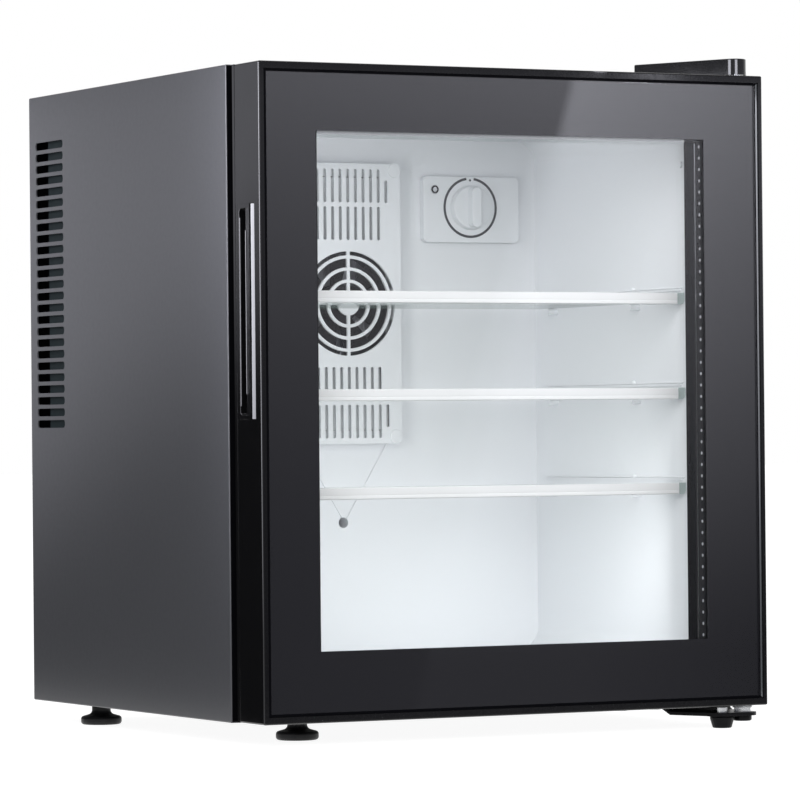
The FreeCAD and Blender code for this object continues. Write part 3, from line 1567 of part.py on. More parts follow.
def door_gasket():
    """The magnetic gasket: a base with its dart, a soft neck and the magnet bar."""
    seal = CABINET_FRONT - at.gasket_seat_gap
    magnet_front = seal - at.gasket_magnet_depth
    base_back = DOOR_BACK + at.gasket_base

    def centred(name, width, y):
        return ring(name, at.gasket_outset + (at.gasket_width - width) / 2, width, y)

    pieces = (
        centred("gasket_dart", at.dart_width, (DOOR_BACK - at.dart_depth, DOOR_BACK)),
        centred("gasket_foot", at.gasket_width, (DOOR_BACK, base_back)),
        centred("gasket_bellows", at.gasket_neck, (base_back, magnet_front)),
        centred("gasket_bar", at.gasket_magnet, (magnet_front, seal)),
    )
    return part("door_gasket", fuse("gasket_whole", *pieces))


def door_bushes():
    """The two bushes that turn on the hinge pins. The lower one has the flange that the door stands on."""
    spot = (PIN_X, PIN_Y)
    bore = at.pin_radius + at.running_fit
    outer = bore + at.bush_wall - at.running_fit
    top = rod("top_bush_body", "z", spot, outer, DOOR_TOP - at.pin_reach, DOOR_TOP)
    top_bore = rod(
        "top_bush_bore", "z", spot, bore, DOOR_TOP - at.pin_reach - at.overrun, DOOR_TOP + at.overrun
    )
    part("top_bush", cut("top_bush_cut", top, top_bore))
    flange_low = CABINET_LOW - at.bracket_drop + at.collar_depth + at.bearing_play
    low = rod("low_bush_body", "z", spot, outer, flange_low, DOOR_LOW + at.pin_reach)
    flange = rod("low_bush_flange", "z", spot, outer + at.bush_flange, flange_low, DOOR_LOW)
    low_bore = rod(
        "low_bush_bore", "z", spot, bore, flange_low - at.overrun, DOOR_LOW + at.pin_reach + at.overrun
    )
    part("bottom_bush", cut("low_bush_cut", fuse("low_bush_whole", low, flange), low_bore))


outer_wrapper()
bottom_panel()
rear_panel()
inner_liner()
foam_insulation()
bay_panel()
drain_tube()
evaporation_tray()
fan_cover()
fan_pair("cold_fan", at.cold_fan_width, LINER_BACK, at.cold_fan_depth)
cold_sink()
spacer_block()
cooling_module()
hot_sink()
fan_pair("hot_fan", at.hot_fan_width, BAY_PANEL_BACK + at.hot_base + at.hot_fin_depth, at.hot_fan_depth)
power_supply()
cord_gland()
thermostat_switch()
thermostat_plate()
thermostat_knob()
cover_screws()
shelves()
lamp()
for foot_label, foot_place in FEET.items():
    levelling_foot(foot_label, *foot_place)
foot_nuts()
top_hinge()
bottom_hinge()
door_frame()
handle_insert()
glazing()
door_retainer()
door_gasket()
door_bushes()
document.recompute()

failed = [item.Name for item in document.Objects if {"Invalid", "Error"} & set(item.State)]
unsound = [item.Label for item in PARTS if item.Shape.isNull() or not item.Shape.isValid()]
if failed or unsound:
    raise RuntimeError(f"failed objects: {failed}, unsound pieces: {unsound}")

os.makedirs("parts", exist_ok=True)
for item in PARTS:
    item.Shape.exportStep(f"parts/{item.Label}.step")
    print(item.Label, "solids", len(item.Shape.Solids), "volume", round(item.Shape.Volume / 1000, 2), "cm3")
print(len(PARTS), "pieces")
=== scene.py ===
# %% [markdown]
# # Dressing a small glass-door fridge
#
# The fridge is already built as solids: a steel cabinet with a white lining, a glazed door on two hinge
# pins, glass shelves and a cooling unit behind a slotted cover. This lesson gives those solids their
# finishes, and replaces the pieces whose edges and small forms the solids leave plain.
# Lengths are in metres. The fridge stands on the floor plane z = 0 and its door looks along -Y.

# %% Load the solids
import json
import math

import bmesh
import bpy
from mathutils import Matrix, Vector

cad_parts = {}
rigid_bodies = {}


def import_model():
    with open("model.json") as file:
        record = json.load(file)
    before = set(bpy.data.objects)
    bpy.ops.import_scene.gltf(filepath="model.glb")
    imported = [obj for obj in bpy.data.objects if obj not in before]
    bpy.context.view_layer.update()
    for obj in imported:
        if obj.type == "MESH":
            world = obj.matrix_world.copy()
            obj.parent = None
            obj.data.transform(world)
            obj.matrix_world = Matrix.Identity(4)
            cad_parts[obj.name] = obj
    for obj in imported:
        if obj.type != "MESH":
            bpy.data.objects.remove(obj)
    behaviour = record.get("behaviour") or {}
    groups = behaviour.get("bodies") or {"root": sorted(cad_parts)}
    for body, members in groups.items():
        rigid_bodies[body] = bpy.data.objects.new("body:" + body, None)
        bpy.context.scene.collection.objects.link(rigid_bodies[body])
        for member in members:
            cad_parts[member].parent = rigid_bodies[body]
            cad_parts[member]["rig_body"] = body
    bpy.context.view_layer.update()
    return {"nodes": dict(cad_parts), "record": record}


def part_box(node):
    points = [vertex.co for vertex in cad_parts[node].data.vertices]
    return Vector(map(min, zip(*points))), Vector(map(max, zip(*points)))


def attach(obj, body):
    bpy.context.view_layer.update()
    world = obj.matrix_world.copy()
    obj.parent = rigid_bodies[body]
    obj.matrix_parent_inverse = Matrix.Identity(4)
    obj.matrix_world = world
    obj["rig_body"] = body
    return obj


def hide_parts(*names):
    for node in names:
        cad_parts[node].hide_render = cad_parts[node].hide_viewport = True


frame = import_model()


# %% [markdown]
# ## The camera
#
# The picture was taken with a long lens from about three metres, to the left of the door and a little
# below its middle. A camera matrix can be typed in, or aimed by an angle and a tilt. Here the three
# angles are named, and the directions of the picture plane are worked out from them. The place of the
# eye also serves the cards below, because a mirror's picture depends on where the eye stands.

# %% Camera
EYE = Vector((-1.56564, -3.02528, 0.21386))
EYE_TURN = 0.479924
EYE_TILT = 0.0067998
EYE_ROLL = -0.0092920
LENS = 208.89
SENSOR = 36.0

ahead = Vector((math.sin(EYE_TURN) * math.cos(EYE_TILT),
                math.cos(EYE_TURN) * math.cos(EYE_TILT),
                math.sin(EYE_TILT)))
level_right = Vector((math.cos(EYE_TURN), -math.sin(EYE_TURN), 0))
level_up = level_right.cross(ahead)
right = level_right * math.cos(EYE_ROLL) + level_up * math.sin(EYE_ROLL)
up = level_up * math.cos(EYE_ROLL) - level_right * math.sin(EYE_ROLL)

camera = bpy.data.objects.new("camera", bpy.data.cameras.new("camera"))
bpy.context.scene.collection.objects.link(camera)
camera.data.lens = LENS
camera.data.sensor_width = SENSOR
camera.matrix_world = Matrix.Translation(EYE) @ Matrix((right, up, -ahead)).transposed().to_4x4()
bpy.context.scene.camera = camera
bpy.context.scene.view_settings.view_transform = "Standard"
print("the camera stands", round(EYE.length, 3), "m from the middle of the fridge's foot print")

# %% [markdown]
# ## Building a material from small parts
#
# Every finish here is one Principled shader. What differs over a surface, such as a grain or a faint
# blotch, comes from a texture on Object coordinates. What is the same all over is set on the shader's
# own socket. A few short functions make and join the nodes. Where they take another node's output,
# they take a plain number as well.

# %% Nodes
def node(owner, kind, **settings):
    made = owner.node_tree.nodes.new(kind)
    for name, value in settings.items():
        setattr(made, name, value)
    return made


def wire(owner, source, target):
    """Joins an output to a socket, or sets the socket where the source is a plain number."""
    if isinstance(source, (int, float)):
        target.default_value = source
    else:
        owner.node_tree.links.new(source, target)


def worked_out(owner, operation, *values):
    step = node(owner, "ShaderNodeMath", operation=operation)
    for value, socket in zip(values, step.inputs):
        wire(owner, value, socket)
    return step.outputs[0]


def spread(owner, value, low, high, start=0.3, end=0.7, **settings):
    """Carries a value that runs from start to end over to a range from low to high."""
    made = node(owner, "ShaderNodeMapRange", **settings)
    for name, source in zip(("Value", "From Min", "From Max", "To Min", "To Max"),
                            (value, start, end, low, high)):
        wire(owner, source, made.inputs[name])
    return made.outputs["Result"]


def mixed_values(owner, share, first, second):
    step = node(owner, "ShaderNodeMix", data_type="FLOAT")
    wire(owner, share, step.inputs["Factor"])
    wire(owner, first, step.inputs[2])
    wire(owner, second, step.inputs[3])
    return step.outputs[0]


def blend_colours(owner, share, first, second):
    made = node(owner, "ShaderNodeMix", data_type="RGBA")
    for socket, colour in zip([s for s in made.inputs if s.type == "RGBA"], (first, second)):
        socket.default_value = (*colour, 1.0)
    wire(owner, share, made.inputs["Factor"])
    return [s for s in made.outputs if s.type == "RGBA"][0]


def place_on(owner, stretch=(1, 1, 1), shift=(0, 0, 0)):
    mapping = node(owner, "ShaderNodeMapping")
    mapping.inputs["Scale"].default_value = stretch
    mapping.inputs["Location"].default_value = shift
    wire(owner, node(owner, "ShaderNodeTexCoord").outputs["Object"], mapping.inputs["Vector"])
    return mapping.outputs["Vector"]


# %% [markdown]
# ## A finish as a recipe
#
# A painter would say: this colour, this gloss, a little blotchy, with a fine relief. The function below
# takes a finish in those words. Each pattern is itself a function, which adds its texture to a material
# when asked, so that one pattern can serve the shade, the gloss and the relief.

# %% Patterns and the recipe
def texture(kind, scale, output, stretch=(1, 1, 1), seed=(0, 0, 0), inputs=None, **settings):
    def pattern(material):
        made = node(material, kind, **settings)
        for name, value in {"Scale": scale, **(inputs or {})}.items():
            made.inputs[name].default_value = value
        wire(material, place_on(material, stretch, seed), made.inputs["Vector"])
        return made.outputs[output]
    return pattern


def grain(size, detail=2.0, **settings):
    return texture("ShaderNodeTexNoise", 1 / size, "Fac", inputs={"Detail": detail}, **settings)


def shader_of(material):
    return material.node_tree.nodes["Principled BSDF"]


def coloured_by(material, pattern, dark, light):
    blend = blend_colours(material, pattern(material), dark, light)
    wire(material, blend, shader_of(material).inputs["Base Color"])


def material_of(name, colour, roughness, metallic=0.0, shade=None, gloss=None, relief=None, **sockets):
    material = bpy.data.materials.new(name)
    material.use_nodes = True
    shader = shader_of(material)
    shader.inputs["Base Color"].default_value = (*colour, 1.0)
    for socket, value in {"Roughness": roughness, "Metallic": metallic, **sockets}.items():
        shader.inputs[socket.replace("_", " ")].default_value = value
    if shade:
        pattern, *gains = shade
        coloured_by(material, pattern, *[tuple(min(1.0, part * gain) for part in colour) for gain in gains])
    if gloss:
        pattern, low, high = gloss
        wire(material, spread(material, pattern(material), low, high), shader.inputs["Roughness"])
    if relief:
        pattern, depth = relief
        raised = node(material, "ShaderNodeBump")
        raised.inputs["Distance"].default_value = depth
        wire(material, pattern(material), raised.inputs["Height"])
        wire(material, raised.outputs["Normal"], shader.inputs["Normal"])
    return material


# %% [markdown]
# ## Room, lamps and mirrored cards
#
# The picture is a studio shot on white. The floor and the world are white for the camera, for mirrors
# and for glass, and give the fridge a plain even light. Black gloss shows nothing but what it mirrors,
# so two large cards stand where the door and the left side see them. They give light to gloss only,
# and their shade is written in the fridge's own places: a card's point is carried back, along the line
# from the mirrored eye, to the spot of the fridge where it is seen.

# %% Floor and world
WORLD_LIGHT = 0.62
WORLD_TINT = (0.985, 0.99, 1.0)
WHITE_SHARE = 0.92
FLOOR_WHITE = 0.26
FLOOR_SIZE = 40


def seen_directly(owner):
    path = node(owner, "ShaderNodeLightPath")
    total = path.outputs["Is Camera Ray"]
    for ray in ("Is Glossy Ray", "Is Transmission Ray"):
        total = worked_out(owner, "MAXIMUM", total, path.outputs[ray])
    return total


def white_world():
    world = bpy.data.worlds.new("white_room")
    bpy.context.scene.world = world
    world.use_nodes = True
    light = world.node_tree.nodes["Background"]
    light.inputs["Color"].default_value = (*WORLD_TINT, 1)
    light.inputs["Strength"].default_value = WORLD_LIGHT
    white = node(world, "ShaderNodeBackground")
    white.inputs["Color"].default_value = (1, 1, 1, 1)
    mix = node(world, "ShaderNodeMixShader")
    for source, socket in zip((seen_directly(world), light.outputs[0], white.outputs[0]), mix.inputs):
        wire(world, source, socket)
    wire(world, mix.outputs[0], world.node_tree.nodes["World Output"].inputs["Surface"])


def flat_plane(name, width, height, matrix, material):
    mesh = bpy.data.meshes.new(name)
    shape = bmesh.new()
    bmesh.ops.create_grid(shape, x_segments=1, y_segments=1, size=0.5)
    bmesh.ops.scale(shape, vec=(width, height, 1), verts=shape.verts)
    bmesh.ops.transform(shape, matrix=matrix, verts=shape.verts)
    shape.to_mesh(mesh)
    shape.free()
    plane = bpy.data.objects.new(name, mesh)
    bpy.context.scene.collection.objects.link(plane)
    mesh.materials.append(material)
    return plane


def surface_of(material):
    return material.node_tree.nodes["Material Output"].inputs["Surface"]


def floor_finish():
    material = material_of("studio_floor", (FLOOR_WHITE,) * 3, 0.9)
    glow = node(material, "ShaderNodeEmission")
    white = worked_out(material, "MULTIPLY", seen_directly(material), WHITE_SHARE)
    wire(material, white, glow.inputs["Strength"])
    both = node(material, "ShaderNodeAddShader")
    wire(material, shader_of(material).outputs[0], both.inputs[0])
    wire(material, glow.outputs[0], both.inputs[1])
    wire(material, both.outputs[0], surface_of(material))
    return material


white_world()
flat_plane("floor", FLOOR_SIZE, FLOOR_SIZE, Matrix.Identity(4), floor_finish())
print("world light", WORLD_LIGHT, "floor colour", FLOOR_WHITE)

# %% Lamps
# each lamp: its place, what it looks at, its two widths and its power in watts
LAMPS = {
    "key": ((-1.35, -2.0, 1.05), (0, -0.05, 0.25), (1.5, 1.5), 33.0),
    "front_fill": ((0.10, -1.25, 0.42), (0, 0.1, 0.24), (0.8, 0.8), 4.0),
    "lining_low": ((0, -0.128, 0.135), (0, 0.1, 0.135), (0.28, 0.12), 0.185),
    "lining_high": ((0, -0.128, 0.335), (0, 0.1, 0.335), (0.28, 0.12), 0.02),
    "lining_side": ((-0.15, -0.085, 0.29), (0.15, -0.085, 0.29), (0.08, 0.28), 0.34),
}
for name, (spot, target, size, power) in LAMPS.items():
    lamp = bpy.data.objects.new(name, bpy.data.lights.new(name, "AREA"))
    bpy.context.scene.collection.objects.link(lamp)
    lamp.data.shape = "RECTANGLE"
    lamp.data.size, lamp.data.size_y = size
    lamp.data.energy = power
    lamp.location = spot
    lamp.rotation_euler = (Vector(target) - Vector(spot)).to_track_quat("-Z", "Y").to_euler()
    lamp.visible_camera = False
    lamp.visible_glossy = False
    print(name, "lamp,", power, "W at", spot)

# %% Where a mirrored point is seen
DOOR_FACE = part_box("front_glass")[0].y
SIDE_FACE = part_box("outer_wrapper")[0].x
FRONT_CARD_Y = -0.335
SIDE_CARD_X = -0.285


def carried_back(material, axis, face, card):
    """Where on the fridge the eye sees a point of a card that stands in front of a mirror face."""
    mirrored = EYE.copy()
    mirrored[axis] = 2 * face - EYE[axis]
    reach = (card - mirrored[axis]) / (face - mirrored[axis])
    spot = place_on(material, (1 / reach,) * 3, mirrored * (1 - 1 / reach))
    parts = node(material, "ShaderNodeSeparateXYZ")
    wire(material, spot, parts.inputs[0])
    return parts.outputs


print("front card at y", FRONT_CARD_Y, "side card at x", SIDE_CARD_X)

# %% What the door mirrors
# the slanted line across the door glass: it passes x = 0.0478 at the top and leans to the left below
SLANT_TOP = Vector((0.0478, 0.4593))
SLANT_LOW = Vector((-0.0748, 0.0461))
SLANT_BLUR = 0.004
DOOR_LEVELS = (0.047, 0.457)
# on each side of the line: light at the foot, what height adds and how late, and shares across
LEFT_OF_LINE = dict(foot=0.33, gain=1.34, power=2.4, shares=(0.9, 1.15), places=(-0.2, 0.04))
RIGHT_OF_LINE = dict(foot=0.37, gain=3.35, power=1.5, shares=(1.08, 0.74), places=(0.05, 0.2))
# beyond the door's own width the card is seen by rounded and slanted edges alone
EDGE_ACROSS = (0.26, 0.27)
EDGE_LEVELS = (0.235, 0.29)
EDGE_LIGHTS = (0.25, 6.0)
# above the door nothing but the hinge cap sees it
ABOVE_DOOR = (0.459, 0.465)
ABOVE_DOOR_LIGHT = 0.5


def door_light(material, across, rise, foot, gain, power, shares, places):
    grown = worked_out(material, "MULTIPLY_ADD", worked_out(material, "POWER", rise, power), gain, foot)
    return worked_out(material, "MULTIPLY", grown, spread(material, across, *shares, *places))


def front_strength(material):
    across, _, height = carried_back(material, 1, DOOR_FACE, FRONT_CARD_Y)
    rise = spread(material, height, 0, 1, *DOOR_LEVELS)
    lean = (SLANT_TOP.x - SLANT_LOW.x) / (SLANT_TOP.y - SLANT_LOW.y)
    beyond = worked_out(material, "MULTIPLY_ADD", height, -lean,
                        worked_out(material, "ADD", across, lean * SLANT_TOP.y - SLANT_TOP.x))
    glass = mixed_values(material, spread(material, beyond, 0, 1, -SLANT_BLUR, SLANT_BLUR),
                         door_light(material, across, rise, **LEFT_OF_LINE),
                         door_light(material, across, rise, **RIGHT_OF_LINE))
    with_edge = mixed_values(material, spread(material, across, 0, 1, *EDGE_ACROSS), glass,
                             spread(material, height, *EDGE_LIGHTS, *EDGE_LEVELS))
    return mixed_values(material, spread(material, height, 0, 1, *ABOVE_DOOR), with_edge, ABOVE_DOOR_LIGHT)


print("the slanted line falls from height", round(SLANT_TOP.y, 4), "to", round(SLANT_LOW.y, 4))

# %% What the left side mirrors
# it is light at the upper rear and dark below, along lines that fall towards the rear
SIDE_SLOPE = 0.393
SIDE_LEVELS = (0.145, 0.350)
SIDE_LIGHTS = (0.02, 0.74)
# in front of the door a bright strip and behind the cabinet a softer one serve the edges
STRIPS = {"front": ((-0.25, -0.255), (0.8, 14.0)), "rear": ((0.30, 0.32), (0.1, 4.0))}
STRIP_LEVELS = (0.08, 0.46)
ABOVE_SIDE = (0.476, 0.480)
ABOVE_SIDE_LIGHT = 0.4


def side_strength(material):
    _, depth, height = carried_back(material, 0, SIDE_FACE, SIDE_CARD_X)
    level = worked_out(material, "MULTIPLY_ADD", depth, SIDE_SLOPE, height)
    light = spread(material, level, *SIDE_LIGHTS, *SIDE_LEVELS, interpolation_type="SMOOTHSTEP")
    for depths, lights in STRIPS.values():
        light = mixed_values(material, spread(material, depth, 0, 1, *depths), light,
                             spread(material, height, *lights, *STRIP_LEVELS))
    return mixed_values(material, spread(material, height, 0, 1, *ABOVE_SIDE), light, ABOVE_SIDE_LIGHT)


print("the side's light rises between the levels", SIDE_LEVELS)

# %% Cards that only gloss sees
CARD_TINT = (0.862, 0.866, 0.952)
COVER_CARD = (0.042, 0.024)
TOWARDS_DOOR = Matrix.Rotation(math.pi / 2, 4, "X")
# each card: width and height, middle, turn about Z in degrees, strength; two serve the hinge cap's end
CARDS = {
    "front_card": ((1.7, 1.3), (0.35, FRONT_CARD_Y, 0.651), 0, front_strength),
    "side_card": ((1.4, 1.6), (SIDE_CARD_X, 0.5, 0.801), 90, side_strength),
    "cover_strip_left": (COVER_CARD, (0.0833, -0.2244, 0.480), -70, lambda material: 11.0),
    "cover_strip_front": (COVER_CARD, (0.1671, -0.293, 0.480), -8, lambda material: 11.0),
}


def card_finish(name, strength_of):
    material = material_of(name, (0, 0, 0), 1.0)
    glow = node(material, "ShaderNodeEmission")
    glow.inputs["Color"].default_value = (*CARD_TINT, 1)
    wire(material, strength_of(material), glow.inputs["Strength"])
    wire(material, glow.outputs[0], surface_of(material))
    return material


for name, (size, centre, turn, strength_of) in CARDS.items():
    place = Matrix.Translation(centre) @ Matrix.Rotation(math.radians(turn), 4, "Z") @ TOWARDS_DOOR
    card = flat_plane(name, *size, place, card_finish(name, strength_of))
    for ray in ("camera", "diffuse", "transmission", "volume_scatter", "shadow"):
        setattr(card, "visible_" + ray, False)
    print(name, "is", size[0], "m wide and", size[1], "m high")

# %% [markdown]
# ## Painted steel
#
# The cabinet is dark grey powder-coated sheet. Such paint is satin, with a fine dimpled skin that only
# a raking light shows. One layer of noise stands for the dimples and a wide one for the unevenness.

# %% Painted steel
PAINT = (0.079, 0.081, 0.090)


def painted_steel():
    return material_of("painted_steel", PAINT, 0.33, IOR=1.5, shade=(grain(0.09, detail=3), 0.97, 1.03),
                       gloss=(grain(0.004), 0.29, 0.36), relief=(grain(0.0012), 0.000012))


FINISHES = {"dark_painted_metal": painted_steel()}
print("paint colour", PAINT)

# %% [markdown]
# ## Bare and plated metals
#
# Hidden sheets are galvanised, screws and pins are zinc plated, and the heat sinks are bare drawn
# aluminium. Zinc has broad crystal patches, so a Voronoi cell pattern tints it. Drawing leaves long
# fine lines, so the aluminium's noise is stretched along the fins.

# %% Metals
def galvanised_steel():
    return material_of("galvanised_steel", (0.56, 0.57, 0.58), 0.42, 1.0,
                       shade=(texture("ShaderNodeTexVoronoi", 90, "Color"), 0.85, 1.1),
                       gloss=(grain(0.01), 0.36, 0.5))


def plated_steel():
    return material_of("plated_steel", (0.72, 0.73, 0.74), 0.25, 1.0, gloss=(grain(0.0015), 0.18, 0.34),
                       relief=(grain(0.0006), 0.000008))


def drawn_aluminium():
    lines = grain(0.0008, stretch=(1, 1, 0.02))
    return material_of("drawn_aluminium", (0.78, 0.79, 0.80), 0.32, 1.0, shade=(lines, 0.93, 1.04),
                       gloss=(lines, 0.26, 0.42), relief=(lines, 0.00001))


METALS = {"plain_steel": galvanised_steel(), "plated_steel": plated_steel(),
          "bare_aluminium": drawn_aluminium()}
FINISHES.update(METALS)
print("metals:", [metal.name for metal in METALS.values()])

# %% [markdown]
# ## Plastics, foam and ceramic
#
# The lining and everything moulded inside it is cool white plastic with a soft gloss. The feet, fans
# and tray are black plastic with a matt moulded grain. The door frame and hinge cover are black too,
# but polished. Foam is a cream body full of cells, and the module's plates are fine white ceramic.

# %% Moulded plastics
def white_plastic():
    return material_of("white_plastic", (0.80, 0.82, 0.845), 0.30, IOR=1.5, shade=(grain(0.2), 0.99, 1.005),
                       gloss=(grain(0.02), 0.28, 0.31), relief=(grain(0.012), 0.00001))


def black_plastic():
    return material_of("black_plastic", (0.008, 0.008, 0.009), 0.38, Specular_IOR_Level=0.35,
                       gloss=(grain(0.003), 0.36, 0.5), relief=(grain(0.0007), 0.00002))


def gloss_black():
    return material_of("gloss_black", (0.004, 0.004, 0.0045), 0.08, Specular_IOR_Level=0.58,
                       gloss=(grain(0.02), 0.06, 0.11), relief=(grain(0.015), 0.00002))


def matt_black():
    return material_of("matt_black", (0.003, 0.003, 0.004), 0.5, IOR=1.05, relief=(grain(0.0006), 0.00001))


def rim_black():
    return material_of("rim_black", (0.004, 0.004, 0.005), 0.25, IOR=1.28, gloss=(grain(0.002), 0.2, 0.32))


FINISHES.update(white_plastic=white_plastic(), black_plastic=black_plastic(), gloss_black=gloss_black(),
                matt_black=matt_black(), rim_black=rim_black())
print(len(FINISHES), "finishes with the moulded plastics")

# %% Foam, ceramic, rubber and circuit board
BOARD_GREEN = (0.02, 0.16, 0.06)
TRACK_GREEN = (0.05, 0.3, 0.11)


def insulating_foam():
    cells = texture("ShaderNodeTexVoronoi", 900, "Distance")
    return material_of("insulating_foam", (0.82, 0.74, 0.52), 0.95, shade=(cells, 0.85, 1.1),
                       relief=(cells, 0.0004))


def module_ceramic():
    return material_of("module_ceramic", (0.86, 0.86, 0.83), 0.6, shade=(grain(0.002), 0.96, 1.02),
                       relief=(grain(0.0005), 0.00001))


def grey_rubber():
    return material_of("grey_rubber", (0.005, 0.005, 0.006), 0.6, Specular_IOR_Level=0.15,
                       shade=(grain(0.05), 0.9, 1.1), relief=(grain(0.0009), 0.00002))


def circuit_board():
    tracks = texture("ShaderNodeTexBrick", 160, "Fac", inputs={"Mortar Size": 0.03})
    material = material_of("circuit_board", BOARD_GREEN, 0.35, relief=(tracks, 0.00003))
    coloured_by(material, tracks, BOARD_GREEN, TRACK_GREEN)
    return material


FINISHES.update(foam=insulating_foam(), module_ceramic=module_ceramic(), grey_rubber=grey_rubber(),
                board_green=circuit_board())
print(len(FINISHES), "finishes with foam, ceramic, rubber and board")

# %% [markdown]
# ## Glass, print and spacer
#
# The door has two panes with a spacer between them. The front pane carries a black print around the
# window. A ray that is bent by real glass leaves the lining dark, so the panes are thin clear skins:
# each face of a pane is almost clear, and a small share of it is a plain mirror. The print behind the
# pane adds a faint gloss of its own.

# %% Glass, print and spacer finishes
def mirror_skin():
    return material_of("door_glass", (1.0, 1.0, 1.0), 0.0, 1.0, Alpha=0.014, gloss=(grain(0.05), 0.0, 0.012))


def clear_glass():
    return material_of("shelf_glass", (0.30, 0.42, 0.38), 0.0, Alpha=0.25, IOR=1.5,
                       gloss=(grain(0.05), 0.0, 0.012))


def border_print():
    return material_of("border_print", (0.005, 0.005, 0.007), 0.0, IOR=1.52, gloss=(grain(0.03), 0.0, 0.02))


def spacer_bar():
    return material_of("spacer_bar", (0.004, 0.004, 0.005), 0.5, Specular_IOR_Level=0.08,
                       shade=(grain(0.002, stretch=(1, 1, 0.1)), 0.8, 1.2))


def lamp_lens():
    return material_of("lamp_lens", (0.86, 0.88, 0.90), 0.45, IOR=1.45,
                       relief=(texture("ShaderNodeTexWave", 160, "Fac", bands_direction="X"), 0.00015))


FINISHES.update(door_glass=mirror_skin(), shelf_glass=clear_glass(), border_print=border_print(),
                spacer_bar=spacer_bar(), lamp_lens=lamp_lens())
print(len(FINISHES), "finishes with glass, print, spacer and lamp lens")

# %% [markdown]
# ## Giving each solid its finish
#
# The record says which finish each solid has. A solid keeps its mesh, and its finish is put into the
# material slot that it already has.

# %% Finishes on the solids
slot_of = {part["node"]: part["material_slot"] for part in frame["record"]["subparts"]}
for name, solid in frame["nodes"].items():
    solid.data.materials.clear()
    solid.data.materials.append(FINISHES[slot_of[name]])
print(len(slot_of), "solids have a finish")

# %% [markdown]
# ## Taking a solid's skin over
#
# Real edges are never sharp: a bent sheet, a moulded corner and a ground pane all catch a thin line of
# light. A Bevel modifier on the solid would meet its loose triangles, so a copy of the skin is merged,
# its flat triangles are joined into whole faces, and only the chosen edges are rounded. The copy then
# stands for the solid, rides on the same body and keeps the same slot.

# %% Skins and chosen edges
MM = 0.001
CLOSE = 0.00001
SHARP_ANGLE = math.radians(30)


def whole_faces(name):
    shape = bmesh.new()
    shape.from_mesh(frame["nodes"][name].data)
    bmesh.ops.remove_doubles(shape, verts=shape.verts, dist=1e-6)
    bmesh.ops.dissolve_limit(shape, angle_limit=math.radians(0.4), verts=shape.verts, edges=shape.edges)
    return shape


def bevelled(shape, edges, width, segments):
    bmesh.ops.bevel(shape, geom=edges, offset=width, offset_type="OFFSET", affect="EDGES",
                    segments=segments, profile=0.5, material=-1, clamp_overlap=True)
    return shape


def rounded_edges(shape, width, segments=2, where=None):
    return bevelled(shape, [edge for edge in shape.edges
                            if len(edge.link_faces) == 2 and edge.calc_face_angle(0) > SHARP_ANGLE
                            and (where is None or where(edge))], width, segments)


def lies_at(edge, **planes):
    """True where both ends of an edge lie on every named plane, such as x=0.2, y=-0.15."""
    return all(abs(vert.co["xyz".index(axis)] - place) < CLOSE
               for vert in edge.verts for axis, place in planes.items())


def on_outline(name):
    """Picks the edges where two outer faces of a solid's box meet."""
    low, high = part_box(name)

    def touches(edge):
        outer = [{(axis, side) for axis in range(3) for side, limit in enumerate((low, high))
                  if abs(vert.co[axis] - limit[axis]) < CLOSE} for vert in edge.verts]
        return len(outer[0] & outer[1]) >= 2
    return touches


def second_finish_in_front(shape, front, margin):
    """Gives the flat faces that look at the door side, no further back than a margin, finish two."""
    for face in shape.faces:
        face.material_index = int(face.normal.y < -0.98 and face.calc_center_median().y < front + margin)


# %% Pieces
def add_piece(name, shape, like, finishes=None, instead=True, smooth=40):
    mesh = bpy.data.meshes.new(name)
    shape.to_mesh(mesh)
    shape.free()
    mesh.shade_smooth()
    mesh.set_sharp_from_angle(angle=math.radians(smooth))
    piece = bpy.data.objects.new(name, mesh)
    bpy.context.scene.collection.objects.link(piece)
    for finish in finishes or [FINISHES[slot_of[like]]]:
        mesh.materials.append(finish)
    piece.modifiers.new("even_shading", "WEIGHTED_NORMAL").keep_sharp = True
    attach(piece, frame["nodes"][like]["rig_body"])
    if instead:
        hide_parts(like)
    print(name, "has", len(mesh.polygons), "faces")
    return piece


# %% [markdown]
# ## The cabinet's steel shell
#
# One sheet is folded over the left side, the top and the right side, and its front edge is turned in.
# The turned-in front edge is matt black: painted shade of the gap between door and cabinet.
# A fold has a radius of about two sheet thicknesses, and each punched vent has a small rolled rim.
# Behind the front half of each vent a flange of the inner sheet closes the wall. Its dark greenish grey
# is partly the sheet's own colour and partly painted shade. Deeper inside, black sheets behind the vents
# and in front of the back panel are painted shade, so nothing bright shows through.

# %% Cabinet shell
FOLD_RADIUS = 1.8 * MM
FRONT_FOLD = 3.0 * MM
RIM_RADIUS = 0.45 * MM
side_low, side_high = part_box("outer_wrapper")
shell_outline = on_outline("outer_wrapper")
shell = whole_faces("outer_wrapper")
rounded_edges(shell, RIM_RADIUS, 2,
              where=lambda edge: not shell_outline(edge) and
              (lies_at(edge, x=side_low.x) or lies_at(edge, x=side_high.x)))
rounded_edges(shell, FRONT_FOLD, 5, where=lambda edge: shell_outline(edge) and lies_at(edge, y=side_low.y))
rounded_edges(shell, FOLD_RADIUS, 3, where=shell_outline)
# the turned-in front edge gets matt black: painted shade of the gap behind the door
second_finish_in_front(shell, side_low.y, 0.1 * MM)
add_piece("cabinet_shell", shell, "outer_wrapper", [FINISHES["dark_painted_metal"], FINISHES["matt_black"]])

# %% Flanges behind the vents, and black sheets of painted shade
VENT_LENGTHS = (133.0 * MM, 169.5 * MM)
VENT_HEIGHTS = (0.205, 0.434)
FLANGE_GAP = 3.0 * MM
FLANGE_SKIN = 0.8 * MM
SHADE_SHEET_GAP = 9.0 * MM
SHADE_SHEET_END = 187.0 * MM
REAR_SHADE_SHEET_GAPS = (1.3 * MM, 26 * MM)
REAR_SHADE_SHEET = (197.2 * MM, 197.6 * MM)


